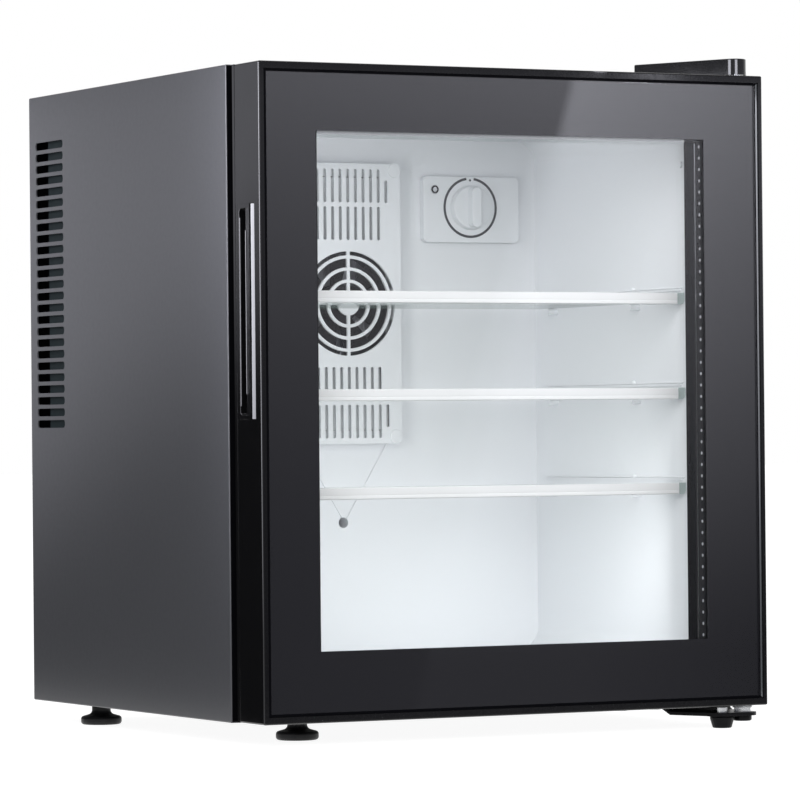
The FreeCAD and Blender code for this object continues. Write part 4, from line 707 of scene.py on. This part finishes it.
def block(shape, low, high):
    low, high = Vector(low), Vector(high)
    made = bmesh.ops.create_cube(shape, size=1.0)["verts"]
    bmesh.ops.scale(shape, vec=high - low, verts=made)
    bmesh.ops.translate(shape, vec=(low + high) / 2, verts=made)
    return made


def side_block(shape, side, reach, depths, levels):
    """A block on the left (-1) or the right (1), between two distances from the fridge's middle."""
    near, far = sorted((side * reach[0], side * reach[1]))
    return block(shape, (near, depths[0], levels[0]), (far, depths[1], levels[1]))


# dark greenish grey: partly the inner sheet's own colour, partly painted shade inside the vents
def flange_tone_and_shade():
    return material_of("flange_tone_and_shade", (0.022, 0.034, 0.038), 0.5, IOR=1.1, shade=(grain(0.01), 0.85, 1.15),
                       relief=(grain(0.0012), 0.00001))


# black sheets behind the vents and near the back panel: painted shade of the vents' inside
flanges = bmesh.new()
shade_sheets = bmesh.new()
for side in (-1, 1):
    walls = [(side_high.x - gap, side_high.x - gap - FLANGE_SKIN) for gap in (FLANGE_GAP, SHADE_SHEET_GAP)]
    side_block(flanges, side, walls[0], VENT_LENGTHS, VENT_HEIGHTS)
    side_block(shade_sheets, side, walls[1], (VENT_LENGTHS[0], SHADE_SHEET_END), VENT_HEIGHTS)
    side_block(shade_sheets, side, [side_high.x - gap for gap in REAR_SHADE_SHEET_GAPS], REAR_SHADE_SHEET, VENT_HEIGHTS)
add_piece("vent_flanges", flanges, "bay_panel", [flange_tone_and_shade()], instead=False)
add_piece("vent_shade_sheets", shade_sheets, "bay_panel", [FINISHES["matt_black"]], instead=False)

# %% [markdown]
# ## The door frame and its panes
#
# The door is a polished black frame with the front pane let in almost flush. The narrow front rim of
# the frame is left matt, and so is a narrow strip of the pane beside it. On the hinge side the pane's
# upright edge is ground to a shallow slope instead, which catches the light as a thin line.

# %% Door frame
DOOR_EDGE_RADIUS = 1.2 * MM
door = rounded_edges(whole_faces("door_frame"), DOOR_EDGE_RADIUS, 5, where=on_outline("door_frame"))
second_finish_in_front(door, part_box("door_frame")[0].y, 0.3 * MM)
add_piece("door_surround", door, "door_frame", [FINISHES["gloss_black"], FINISHES["rim_black"]], smooth=20)

# %% Front pane
SLOPE_WIDTH = 1.8 * MM
SLOPE_DEPTH = 0.35 * MM
STRIP_WIDTH = 0.7 * MM
pane_low, pane_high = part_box("front_glass")


def ground_edge():
    return material_of("ground_edge", (0.05, 0.055, 0.06), 0.1, IOR=2.3, gloss=(grain(0.01), 0.06, 0.14))


def ring_of_front(shape, width):
    front = min(shape.faces, key=lambda face: face.calc_center_median().y - face.calc_area())
    return bmesh.ops.inset_region(shape, faces=[front], thickness=width, depth=0,
                                  use_even_offset=True)["faces"]


def right_of(face, place):
    return face.calc_center_median().x > place


pane = bmesh.new()
block(pane, pane_low, pane_high)
slope = ring_of_front(pane, SLOPE_WIDTH)
strip = ring_of_front(pane, STRIP_WIDTH)
for face in slope:
    face.material_index = 2 if right_of(face, pane_high.x - SLOPE_WIDTH) else 1
for face in strip:
    face.material_index = int(right_of(face, pane_high.x - SLOPE_WIDTH - STRIP_WIDTH))
bmesh.ops.translate(pane, vec=(0, SLOPE_DEPTH, 0), verts=[
    vert for vert in pane.verts
    if abs(vert.co.x - pane_high.x) < CLOSE and abs(vert.co.y - pane_low.y) < CLOSE])
front_pane = add_piece("front_pane", pane, "front_glass",
                       [FINISHES["door_glass"], FINISHES["matt_black"], ground_edge()])

for pane_object in (front_pane, frame["nodes"]["rear_glass"]):
    pane_object.visible_shadow = False
    pane_object.visible_diffuse = False
front_pane.visible_glossy = False

# %% [markdown]
# ## Print, spacer and sealant
#
# The spacer is a black anodised bar, bent round to a frame and filled with drying beads. Small holes
# along its inner side let the air reach them. A frame is quickest made from one flat face: an inset
# gives its width, the middle is deleted, and an extrusion gives its depth. The printed border is such a
# frame as well. Glass lifts what lies behind it, so the print stands a little forward inside the pane.
# Grey sealant shows above the window. On both sides of the window a thin bright line along the spacer
# is a painted highlight, dark below and bright higher up. A thin matt tape keeps the retainer's
# opening from mirroring the white lining.

# %% Printed border
PRINT_LIFT = 2.5 * MM
PRINT_BAND = 0.4 * MM
WINDOW_SHIFT = 2.4 * MM
WINDOW_RISE = 2.2 * MM
WINDOW_MARGIN = 5 * MM


def only(kind, items):
    return [item for item in items if isinstance(item, kind)]


def drawn_out(shape, faces, vec):
    """Extrudes faces along a vector, which gives them a depth."""
    made = bmesh.ops.extrude_face_region(shape, geom=faces)["geom"]
    bmesh.ops.translate(shape, vec=vec, verts=only(bmesh.types.BMVert, made))
    bmesh.ops.recalc_face_normals(shape, faces=shape.faces)


def upright_frame(low, high, width):
    """A flat upright frame with its faces towards the door and the back wall."""
    shape = bmesh.new()
    corner_points = [shape.verts.new((x, low.y, z)) for x, z in
                     ((low.x, low.z), (high.x, low.z), (high.x, high.z), (low.x, high.z))]
    whole = shape.faces.new(corner_points)
    shape.normal_update()
    bmesh.ops.inset_region(shape, faces=[whole], thickness=width, depth=0, use_boundary=True,
                           use_even_offset=True)
    bmesh.ops.delete(shape, geom=[whole], context="FACES")
    drawn_out(shape, list(shape.faces), (0, high.y - low.y, 0))
    return shape


def opening_of(verts, axis, low, high, margin):
    """The two edges of an opening, along an axis: what lies further in than a margin."""
    places = [vert.co[axis] for vert in verts if low[axis] + margin < vert.co[axis] < high[axis] - margin]
    return min(places), max(places)


print_low, print_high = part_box("glass_border")
print_verts = frame["nodes"]["glass_border"].data.vertices
opening = opening_of(print_verts, 0, print_low, print_high, WINDOW_MARGIN)[1]
print_frame = upright_frame(print_low, Vector((print_high.x, print_low.y + PRINT_BAND, print_high.z)),
                            print_high.x - opening)
window_top = opening_of(print_frame.verts, 2, print_low, print_high, WINDOW_MARGIN)[1]
for vert in print_frame.verts:
    vert.co.x -= WINDOW_SHIFT if abs(vert.co.x + opening) < CLOSE else 0
    vert.co.z += WINDOW_RISE if abs(vert.co.z - window_top) < CLOSE else 0
bmesh.ops.translate(print_frame, vec=(0, -PRINT_LIFT, 0), verts=print_frame.verts)
add_piece("print_frame", print_frame, "glass_border")
print("the print leaves a window", round(2 * opening / MM, 1), "mm wide")

# %% Spacer, its sealant and its painted highlight lines
SPACER_WIDTH = 9.7 * MM
SPACER_ROUND = 0.5 * MM
SEAL_SKIN = 0.3 * MM
SEAL_HEIGHT = 3 * MM
SEAL_SHORT = 14.5 * MM
# the painted highlight line: its thickness, the heights over which it brightens, its dark and bright colours
GLINT_SKIN = 0.15 * MM
GLINT_LEVELS = (0.25, 0.43)
GLINT_COLOURS = ((0.03, 0.03, 0.03), (0.5, 0.5, 0.53))
spacer_low, spacer_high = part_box("glass_spacer")
GLINT_DEPTHS = (spacer_high.y - 3.4 * MM, spacer_high.y - 2.1 * MM)


def seal_grey():
    return material_of("seal_grey", (0.30, 0.31, 0.33), 0.5,
                       shade=(grain(0.004, stretch=(1, 1, 6)), 0.75, 1.15))


def painted_glint_rise(material):
    parts = node(material, "ShaderNodeSeparateXYZ")
    wire(material, place_on(material), parts.inputs[0])
    return spread(material, parts.outputs[2], 0, 1, *GLINT_LEVELS)


# painted highlight: the line's colour runs from dark below to bright above, by height
def painted_glint():
    material = material_of("painted_glint", (0.4, 0.4, 0.42), 0.15, 1.0)
    coloured_by(material, painted_glint_rise, *GLINT_COLOURS)
    return material


add_piece("spacer_frame", rounded_edges(upright_frame(spacer_low, spacer_high, SPACER_WIDTH), SPACER_ROUND),
          "glass_spacer")
seal = bmesh.new()
block(seal, (-opening, spacer_low.y - SEAL_SKIN, window_top),
      (opening - SEAL_SHORT, spacer_low.y, window_top + SEAL_HEIGHT))
add_piece("window_seal", seal, "glass_spacer", [seal_grey()], instead=False)
glint_lines = bmesh.new()
inner_wall = spacer_high.x - SPACER_WIDTH
for side in (-1, 1):
    side_block(glint_lines, side, (inner_wall, inner_wall - GLINT_SKIN), GLINT_DEPTHS,
               (spacer_low.z + SPACER_WIDTH, window_top))
add_piece("spacer_glint_lines", glint_lines, "glass_spacer", [painted_glint()], instead=False)

# %% Matt tape in the retainer's opening
TAPE_SKIN = 0.25 * MM
TAPE_MARGIN = 1 * MM
TAPE_SHORT = 0.1 * MM
retainer_low, retainer_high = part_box("door_retainer")
retainer_verts = frame["nodes"]["door_retainer"].data.vertices
tape_half = opening_of(retainer_verts, 0, spacer_low, spacer_high, TAPE_MARGIN)[1]
tape_rise = opening_of(retainer_verts, 2, spacer_low, spacer_high, TAPE_MARGIN)[0]
add_piece("window_tape", upright_frame(
    Vector((-tape_half, retainer_low.y + TAPE_SHORT, tape_rise)),
    Vector((tape_half, retainer_high.y - TAPE_SHORT, spacer_low.z + spacer_high.z - tape_rise)), TAPE_SKIN),
    "door_retainer", [FINISHES["matt_black"]], instead=False)

# %% Holes of the spacer
HOLE_PITCH = 8.0 * MM
HOLE_RADIUS = 1.1 * MM
HOLE_OFFSET = 3.5 * MM
HOLE_SKIN = 0.12 * MM
hole_y = spacer_low.y + HOLE_OFFSET
span = {"x": (spacer_low.x + SPACER_WIDTH, spacer_high.x - SPACER_WIDTH),
        "z": (spacer_low.z + SPACER_WIDTH, spacer_high.z - SPACER_WIDTH)}
holes = bmesh.new()


def bead_hole():
    return material_of("bead_hole", (0.42, 0.42, 0.45), 0.5, shade=(grain(0.001), 0.6, 1.3))


def hole_row(along, wall, turn):
    start, end = span[along]
    count = int((end - start) / HOLE_PITCH)
    for number in range(count):
        place = start + (number + 0.5) * (end - start) / count
        spot = (place, hole_y, wall) if along == "x" else (wall, hole_y, place)
        bmesh.ops.create_cone(holes, cap_ends=True, segments=10, radius1=HOLE_RADIUS, radius2=HOLE_RADIUS,
                              depth=HOLE_SKIN, matrix=Matrix.Translation(spot) @ turn)


for wall in span["x"]:
    hole_row("z", wall, Matrix.Rotation(math.pi / 2, 4, "Y"))
for wall in span["z"]:
    hole_row("x", wall, Matrix.Identity(4))
add_piece("spacer_holes", holes, "glass_spacer", [bead_hole()], instead=False)

# %% [markdown]
# ## The grip in the door's side
#
# The door is opened by a cup let into its left side. The front bar of the cup is what the fingers
# pull. It is wider than the solid's own bar and crowned: its face falls away towards the front in one
# large curve. Its section is drawn once, with an arc, and extruded upwards. A fine raised lip runs
# along the bar's rear edge and another along the rear of the hole.

# %% Handle cup
handle_low, handle_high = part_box("handle_insert")
CUP_RADIUS = 1.8 * MM
CUP_FRONT = 7.8 * MM
CUP_REAR_WALL = 2 * MM
CUP_LIP_SHORT = 9 * MM
LIP = 0.6 * MM
LIP_ROUND = 0.57 * MM


def polished_grip():
    waves = grain(0.009, stretch=(1, 1, 0.5), seed=(0.3, 0, 0))
    return material_of("polished_grip", (0.005, 0.005, 0.006), 0.12, IOR=1.72,
                       gloss=(grain(0.006), 0.08, 0.2), relief=(waves, 0.00035))


def edges_of(verts):
    return list({edge for vert in verts for edge in vert.link_edges})


def cut_level(shape, point, normal, clear_outer=False):
    whole = list(shape.verts) + list(shape.edges) + list(shape.faces)
    return bmesh.ops.bisect_plane(shape, geom=whole, clear_outer=clear_outer, plane_co=point,
                                  plane_no=normal)["geom_cut"]


def finger_lip(shape, rear, low_short, high_short):
    made = block(shape, (handle_low.x, rear - 2 * LIP, handle_low.z + low_short),
                 (handle_low.x + 2 * LIP, rear, handle_high.z - high_short))
    bevelled(shape, edges_of(made), LIP_ROUND, 4)


grip_gloss = polished_grip()
cup = rounded_edges(whole_faces("handle_insert"), CUP_RADIUS, 3,
                    where=lambda edge: lies_at(edge, x=handle_low.x))
finger_lip(cup, handle_high.y - CUP_REAR_WALL, CUP_LIP_SHORT, CUP_LIP_SHORT)
cut = cut_level(cup, (0, handle_low.y + CUP_FRONT, 0), (0, -1, 0), clear_outer=True)
bmesh.ops.holes_fill(cup, edges=only(bmesh.types.BMEdge, cut))
for face in cup.faces:
    face.material_index = int(-0.97 < face.normal.x < -0.2)
add_piece("handle_cup", cup, "handle_insert", [FINISHES["gloss_black"], grip_gloss])

# %% Crowned bar
BAR_WIDTH = 15.2 * MM
BAR_DEPTH = 8.0 * MM
BAR_SHORT = 0.3 * MM
BAR_ROUND = 0.6 * MM
CROWN_RADIUS = 14.0 * MM
CROWN_START = 9.5 * MM
LIP_INSET = 0.4 * MM
LIP_SHORTS = (17 * MM, 18 * MM)


def arc(centre, radius, start, end, steps=6):
    """Points of a round stretch of a profile, between two angles in degrees."""
    angles = [math.radians(start + (end - start) * step / steps) for step in range(steps + 1)]
    return [(centre[0] + radius * math.cos(a), centre[1] + radius * math.sin(a)) for a in angles]


bar_x = handle_low.x + LIP
bar_rear = handle_low.y + BAR_WIDTH
crown_end = math.degrees(math.asin(CROWN_START / CROWN_RADIUS))
crown = arc((bar_x + CROWN_RADIUS, handle_low.y + CROWN_START), CROWN_RADIUS, 180, 180 + crown_end, 14)
outline = crown + [(bar_x + BAR_DEPTH, handle_low.y), (bar_x + BAR_DEPTH, bar_rear), (bar_x, bar_rear)]
bar = bmesh.new()
section = bar.faces.new([bar.verts.new((x, y, handle_low.z + BAR_SHORT)) for x, y in outline])
drawn_out(bar, [section], (0, 0, handle_high.z - handle_low.z - 2 * BAR_SHORT))
rounded_edges(bar, BAR_ROUND, 3, where=lambda edge: lies_at(edge, y=bar_rear, x=bar_x))
finger_lip(bar, bar_rear - LIP_INSET, *LIP_SHORTS)
add_piece("handle_bar", bar, "handle_insert", [grip_gloss], instead=False)

# %% [markdown]
# ## Shelves
#
# Each shelf is a plate of glass whose front edge sits in a white moulded trim. The trim has a fine
# groove low on its face, and a clear cap closes each end. The groove is cut by two level slices and an
# inset with a negative depth, and then the long edges are rounded.

# %% Shelf trims and end caps
SHELVES = ("top_shelf", "middle_shelf", "bottom_shelf")
GROOVE_LOW = 2.5 * MM
GROOVE_HEIGHT = 0.7 * MM
GROOVE_DEPTH = 0.45 * MM
GROOVE_SLOPE = 0.1 * MM
TRIM_RADIUS = 0.7 * MM
CAP_LENGTH = 5.1 * MM
CAP_ROUND = 3.2 * MM


def clear_cap():
    return material_of("clear_cap", (0.60, 0.72, 0.71), 0.12, Alpha=0.6, IOR=1.4,
                       gloss=(grain(0.01), 0.08, 0.18))


def bright_plastic():
    return material_of("bright_plastic", (0.81, 0.83, 0.84), 0.32, IOR=1.5, shade=(grain(0.2), 0.985, 1.005),
                       relief=(grain(0.006), 0.00001))


cap_finish = clear_cap()
trim_finish = bright_plastic()
for shelf in SHELVES:
    low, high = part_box(shelf + "_trim")
    trim = whole_faces(shelf + "_trim")
    rounded_edges(trim, TRIM_RADIUS, 3, where=lambda edge: lies_at(edge, y=low.y))
    groove = (low.z + GROOVE_LOW, low.z + GROOVE_LOW + GROOVE_HEIGHT)
    for level in groove:
        cut_level(trim, (0, 0, level), (0, 0, 1))
    strip = [face for face in trim.faces if face.normal.y < -0.9 and
             groove[0] < face.calc_center_median().z < groove[1]]
    bmesh.ops.inset_region(trim, faces=strip, thickness=GROOVE_SLOPE, depth=-GROOVE_DEPTH)
    add_piece(shelf + "_trim_bar", trim, shelf + "_trim", [trim_finish])
    caps = bmesh.new()
    for side in (-1, 1):
        made = side_block(caps, side, (high.x, high.x + CAP_LENGTH), (low.y, high.y), (low.z, high.z))
        foot_edges = [edge for edge in edges_of(made)
                      if lies_at(edge, x=side * (high.x + CAP_LENGTH), z=low.z)]
        bevelled(caps, foot_edges, CAP_ROUND, 5)
    add_piece(shelf + "_end_caps", caps, shelf + "_glass", [cap_finish], instead=False)

# %% [markdown]
# ## Guides on the lining's walls
#
# Above each shelf a fine rib runs along both walls and keeps the glass from tipping up. A small round
# stop sits on the rib, a third of the way in.

# %% Shelf guides
WALL_X = 166.0 * MM
GUIDE_RISE = 5.6 * MM
GUIDE_HEIGHT = 0.9 * MM
GUIDE_DEPTH = 1.2 * MM
GUIDE_ROUND = 0.3 * MM
GUIDE_REACH = (-143.0 * MM, 58.0 * MM)
STOP_Y = -72.5 * MM
STOP_RADIUS = 2.0 * MM
guides = bmesh.new()
for shelf in SHELVES:
    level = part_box(shelf + "_glass")[1].z + GUIDE_RISE
    for side in (-1, 1):
        rib = side_block(guides, side, (WALL_X, WALL_X - GUIDE_DEPTH), GUIDE_REACH,
                         (level, level + GUIDE_HEIGHT))
        bevelled(guides, edges_of(rib), GUIDE_ROUND, 2)
        bmesh.ops.create_uvsphere(guides, u_segments=16, v_segments=10, radius=STOP_RADIUS,
                                  matrix=Matrix.Translation((side * WALL_X, STOP_Y, level + GUIDE_HEIGHT)))
add_piece("shelf_guides", guides, "inner_liner", instead=False)

# %% [markdown]
# ## The fan cover
#
# The cover over the cooling unit is thin white moulding. Its rim and every slot have a rounded lip, so
# that the slots look wider than they are cut. The slot walls and the rounding of the rim's sides are a
# grey copy of the white plastic: painted shade. Behind the upper and the lower slots a slanted plate
# turns the cold air away from the fan; its grey is painted shade of the slots' inside. Round caps close
# the screw holes.

# %% Cover
COVER_RIM = 1.6 * MM
COVER_CORNER = 6 * MM
SLOT_LIP = 1.1 * MM
SLOT_MARGIN = 4 * MM
FAN_FIELD = 42 * MM
cover_low, cover_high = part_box("fan_cover")
fan_height = (cover_low.z + cover_high.z) / 2
cover_half = cover_high.z - fan_height
cover = whole_faces("fan_cover")


def at_cover_front(edge):
    return lies_at(edge, y=cover_low.y)


def at_cover_rim(edge):
    """True along the cover's outline and around its corners."""
    gaps = [(abs(abs(vert.co.x) - cover_high.x), abs(abs(vert.co.z - fan_height) - cover_half))
            for vert in edge.verts]
    return at_cover_front(edge) and all(min(pair) < CLOSE or max(pair) < COVER_CORNER for pair in gaps)


# a grey copy of the white plastic: painted shade for the slot walls, the rim's rounding and the air plates
def painted_shade_plastic():
    return material_of("painted_shade_plastic", (0.56, 0.58, 0.60), 0.4, shade=(grain(0.05), 0.95, 1.02))


painted_shade_finish = painted_shade_plastic()
rounded_edges(cover, SLOT_LIP, 2, where=lambda edge: at_cover_front(edge) and not at_cover_rim(edge))
rounded_edges(cover, COVER_RIM, 3, where=at_cover_rim)
# slot walls and the rim's side rounding get the grey copy: painted shade in the slots and along the rim
for face in cover.faces:
    middle = face.calc_center_median()
    in_slot = abs(face.normal.y) < 0.95 and abs(middle.x) < cover_high.x - SLOT_MARGIN and \
        FAN_FIELD < abs(middle.z - fan_height) < cover_half - SLOT_MARGIN
    on_rim = -0.95 < face.normal.y < -0.05 and abs(middle.x) > cover_high.x - COVER_RIM
    face.material_index = int(in_slot or on_rim)
add_piece("cover_moulding", cover, "fan_cover", [FINISHES["white_plastic"], painted_shade_finish])

# %% Air plates
PLATE_HALF = 36 * MM
PLATE_SKIN = 1.0 * MM
PLATE_OUTER = (2.6 * MM, 94.2 * MM)
PLATE_INNER = (4.5 * MM, 43 * MM)
plates = bmesh.new()
for side in (1, -1):
    outer, inner = [Vector((0, cover_low.y + depth, fan_height + side * rise))
                    for depth, rise in (PLATE_OUTER, PLATE_INNER)]
    run = outer - inner
    made = block(plates, (-PLATE_HALF, -PLATE_SKIN / 2, -run.length / 2),
                 (PLATE_HALF, PLATE_SKIN / 2, run.length / 2))
    lean = Vector((0, 0, 1)).rotation_difference(run).to_matrix().to_4x4()
    bmesh.ops.transform(plates, matrix=Matrix.Translation((outer + inner) / 2) @ lean, verts=made)
add_piece("cover_air_plates", plates, "fan_cover", [painted_shade_finish], instead=False)

# %% Screw caps
SCREW_INSET = 5 * MM
CAP_RADIUS = 5.3 * MM
CAP_BACK = 0.5 * MM
CAP_WALL = 0.15 * MM
CAP_DOME = 0.5 * MM
CAP_LIFT = 0.05 * MM
CAP_PROFILE = [(0, -CAP_BACK), (CAP_RADIUS, -CAP_BACK), (CAP_RADIUS, CAP_WALL)] + \
    arc((CAP_RADIUS - CAP_DOME, CAP_WALL), CAP_DOME, 0, 90, 4) + [(0, CAP_WALL + CAP_DOME + 2 * CAP_LIFT)]


def turned(shape, profile, matrix, steps=48):
    """Turns a profile of (radius, height) points about its own axis, then puts it in place."""
    before = set(shape.verts)
    points = [shape.verts.new((radius, 0, height)) for radius, height in profile]
    lines = [shape.edges.new(pair) for pair in zip(points, points[1:])]
    bmesh.ops.spin(shape, geom=points + lines, cent=(0, 0, 0), axis=(0, 0, 1), angle=2 * math.pi,
                   steps=steps, use_merge=True, dvec=(0, 0, 0))
    fresh = [vert for vert in shape.verts if vert not in before]
    bmesh.ops.remove_doubles(shape, verts=fresh, dist=1e-7)
    fresh = [vert for vert in shape.verts if vert not in before]
    faces = list({face for vert in fresh for face in vert.link_faces})
    bmesh.ops.recalc_face_normals(shape, faces=faces)
    bmesh.ops.transform(shape, matrix=matrix, verts=fresh)


caps = bmesh.new()
for across in (-1, 1):
    for rise in (-1, 1):
        spot = (across * (cover_high.x - SCREW_INSET), cover_low.y - CAP_LIFT,
                fan_height + rise * (cover_half - SCREW_INSET))
        turned(caps, CAP_PROFILE, Matrix.Translation(spot) @ TOWARDS_DOOR, 32)
add_piece("cover_screw_caps", caps, "fan_cover", instead=False)

# %% [markdown]
# ## The thermostat
#
# The dial sits on a raised plate. A thin black ring is printed around the knob, open at the top where
# the off mark stands. A print is best made as a very thin raised band, turned around the knob's axis,
# because it then needs no picture.

# %% Plate and knob
PLATE_ROUND = 0.4 * MM
KNOB_ROUND = 0.7 * MM
plate_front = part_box("thermostat_plate")[0].y
knob_low, knob_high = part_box("thermostat_knob")
dial_spot = Vector(((knob_low.x + knob_high.x) / 2, plate_front, (knob_low.z + knob_high.z) / 2))
plate = rounded_edges(whole_faces("thermostat_plate"), PLATE_ROUND, 2,
                      where=lambda edge: lies_at(edge, y=plate_front))
add_piece("dial_plate", plate, "thermostat_plate")
add_piece("dial_knob", rounded_edges(whole_faces("thermostat_knob"), KNOB_ROUND, 3), "thermostat_knob")

# %% Printed ring
RING_RADIUS = 22.0 * MM
RING_WIDTH = 1.9 * MM
RING_GAP = math.radians(16.5)
PRINT_SKIN = 0.12 * MM
MARK_RADIUS = 0.9 * MM
MARK_INSET = 1.2 * MM


def printed_ring():
    return material_of("printed_ring", (0.012, 0.013, 0.018), 0.45, shade=(grain(0.004), 0.8, 1.2))


ring = bmesh.new()
inner, outer = RING_RADIUS - RING_WIDTH / 2, RING_RADIUS + RING_WIDTH / 2
section = [ring.verts.new((radius, 0, height)) for radius, height in
           ((inner, 0), (outer, 0), (outer, PRINT_SKIN), (inner, PRINT_SKIN))]
band = ring.faces.new(section)
bmesh.ops.rotate(ring, verts=section, cent=(0, 0, 0),
                 matrix=Matrix.Rotation(math.pi / 2 + RING_GAP / 2, 3, "Z"))
bmesh.ops.spin(ring, geom=[band, *band.edges, *section], cent=(0, 0, 0), axis=(0, 0, 1),
               angle=2 * math.pi - RING_GAP, steps=96, use_merge=False, dvec=(0, 0, 0))
bmesh.ops.create_cone(ring, cap_ends=True, segments=16, radius1=MARK_RADIUS, radius2=MARK_RADIUS,
                      depth=PRINT_SKIN,
                      matrix=Matrix.Translation((0, RING_RADIUS - MARK_INSET, PRINT_SKIN / 2)))
bmesh.ops.recalc_face_normals(ring, faces=ring.faces)
bmesh.ops.transform(ring, matrix=Matrix.Translation(dial_spot) @ TOWARDS_DOOR, verts=ring.verts)
add_piece("dial_ring", ring, "thermostat_plate", [printed_ring()], instead=False)

# %% Painted shadow ring around the plate's screw
SHADOW_RING_INNER = 1.9 * MM
SHADOW_RING_OUTER = 2.9 * MM
SHADOW_RING_HEIGHT = 0.35 * MM
PLATE_SCREW = (77.0 * MM, 396.5 * MM)
shadow_ring_section = [(SHADOW_RING_INNER, 0), (SHADOW_RING_OUTER, 0), (SHADOW_RING_OUTER, SHADOW_RING_HEIGHT),
                  (SHADOW_RING_INNER, SHADOW_RING_HEIGHT), (SHADOW_RING_INNER, 0)]
# a thin black ring around the screw head: painted shadow of the recess around the screw
shadow_ring = bmesh.new()
turned(shadow_ring, shadow_ring_section,
       Matrix.Translation((PLATE_SCREW[0], plate_front, PLATE_SCREW[1])) @ TOWARDS_DOOR, 32)
add_piece("plate_screw_shadow_ring", shadow_ring, "thermostat_plate", [FINISHES["matt_black"]], instead=False)

# %% [markdown]
# ## Feet
#
# The feet are moulded black plastic: a broad rounded pad, a hollowed shoulder and a neck, with a stud
# above it. They are round, so half of their outline is typed as a profile and turned. The foot under
# the hinge bracket is a small fluted cone.

# %% Levelling feet
PAD_RADIUS = 15.0 * MM
PAD_HEIGHT = 6.3 * MM
PAD_ROUND = 2.3 * MM
PAD_DISH = 0.2 * MM
NECK_RADIUS = 6.9 * MM
HOLLOW = 3.4 * MM
HOLLOW_STEP = 0.9 * MM
NECK_TOP = 15.0 * MM
STUD_RADIUS = 3 * MM
STUD_SUNK = 1 * MM


def standing_at(low, high):
    """Moves what stands on the origin to the middle of a box, and leaves its height."""
    return Matrix.Translation(((low.x + high.x) / 2, (low.y + high.y) / 2, 0))


def foot_profile():
    return [(0, PAD_DISH), (PAD_RADIUS - 2 * PAD_ROUND, 0)] + \
        arc((PAD_RADIUS - PAD_ROUND, PAD_ROUND), PAD_ROUND, -90, 0) + \
        arc((PAD_RADIUS - PAD_ROUND, PAD_HEIGHT - PAD_ROUND), PAD_ROUND, 0, 80) + \
        arc((NECK_RADIUS + HOLLOW, PAD_HEIGHT + HOLLOW_STEP + HOLLOW), HOLLOW, 255, 180) + \
        [(NECK_RADIUS, NECK_TOP), (STUD_RADIUS, NECK_TOP)]


def stud_profile(top):
    foot = NECK_TOP - STUD_SUNK
    return [(0, foot), (STUD_RADIUS, foot), (STUD_RADIUS, top), (0, top)]


for name in ("front_left_foot", "rear_left_foot", "rear_right_foot"):
    low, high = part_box(name)
    foot = bmesh.new()
    turned(foot, foot_profile(), standing_at(low, high))
    turned(foot, stud_profile(high.z), standing_at(low, high), 16)
    add_piece(name + "_pad", foot, name)

# %% Foot under the hinge
FLUTES = 18
FLUTE_DEPTH = 0.35 * MM
CONE_TOP = 8.7 * MM
CONE_BASE = 7.0 * MM
CONE_INSET = 2 * MM
CONE_FOOT_ROUND = 1.2 * MM
CONE_HEAD_ROUND = 0.8 * MM
FLUTE_MARGIN = 0.1 * MM


def black_paint():
    return material_of("black_paint", (0.004, 0.004, 0.005), 0.3, Specular_IOR_Level=0.12,
                       gloss=(grain(0.004), 0.26, 0.36), relief=(grain(0.0012), 0.00001))


hinge_black = black_paint()
low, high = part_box("front_right_foot")
head = high.z - 2 * CONE_HEAD_ROUND
cone_profile = [(0, PAD_DISH), (CONE_BASE - CONE_INSET, 0)] + \
    arc((CONE_BASE - CONE_FOOT_ROUND, CONE_FOOT_ROUND), CONE_FOOT_ROUND, -90, -5) + [(CONE_TOP, head)] + \
    arc((CONE_TOP - CONE_HEAD_ROUND, high.z - CONE_HEAD_ROUND), CONE_HEAD_ROUND, 0, 90) + \
    [(STUD_RADIUS, high.z)]
cone = bmesh.new()
turned(cone, cone_profile, Matrix.Identity(4), FLUTES * 4)
for vert in cone.verts:
    reach = math.hypot(vert.co.x, vert.co.y)
    if reach > CONE_BASE - CONE_INSET and vert.co.z < head - FLUTE_MARGIN:
        turn = math.atan2(vert.co.y, vert.co.x)
        vert.co.xy *= 1 - FLUTE_DEPTH / reach * (1 + math.cos(FLUTES * turn)) / 2
bmesh.ops.transform(cone, matrix=standing_at(low, high), verts=cone.verts)
add_piece("hinge_foot_cone", cone, "front_right_foot", [hinge_black])

# %% [markdown]
# ## Hinges
#
# The top hinge is hidden under a moulded cap. The bottom hinge is a folded and black painted plate
# that reaches out under the door: it carries the pin, a black cap nut and the fourth foot.

# %% Hinge cap and bracket
CAP_SQUEEZE = 51 / 54
CAP_EDGE = 0.8 * MM
BRACKET_EDGE = 0.35 * MM
cap_low, cap_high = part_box("top_hinge_cover")
hinge_cap = rounded_edges(whole_faces("top_hinge_cover"), CAP_EDGE, 3,
                          where=lambda edge: lies_at(edge, z=cap_high.z))
bmesh.ops.scale(hinge_cap, vec=(CAP_SQUEEZE, 1, 1), verts=hinge_cap.verts,
                space=Matrix.Translation((-cap_low.x, 0, 0)))
add_piece("hinge_cap", hinge_cap, "top_hinge_cover")
bracket = rounded_edges(whole_faces("bottom_hinge_bracket"), BRACKET_EDGE, 2)
add_piece("hinge_bracket", bracket, "bottom_hinge_bracket", [hinge_black])

# %% Cap nut
NUT_ROUND = 1.4 * MM
NUT_CHAMFER = 0.5 * MM
NUT_BORE = 2 * MM
nut_low, nut_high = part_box("bottom_hinge_nut")
nut_radius = (nut_high.x - nut_low.x) / 2
nut_profile = [(0, nut_low.z)] + \
    arc((nut_radius - NUT_ROUND, nut_low.z + NUT_ROUND), NUT_ROUND, -90, 0) + \
    [(nut_radius, nut_high.z - NUT_CHAMFER), (nut_radius - NUT_CHAMFER, nut_high.z), (NUT_BORE, nut_high.z)]
nut = bmesh.new()
turned(nut, nut_profile, standing_at(nut_low, nut_high), 40)
add_piece("hinge_nut", nut, "bottom_hinge_nut", [hinge_black])
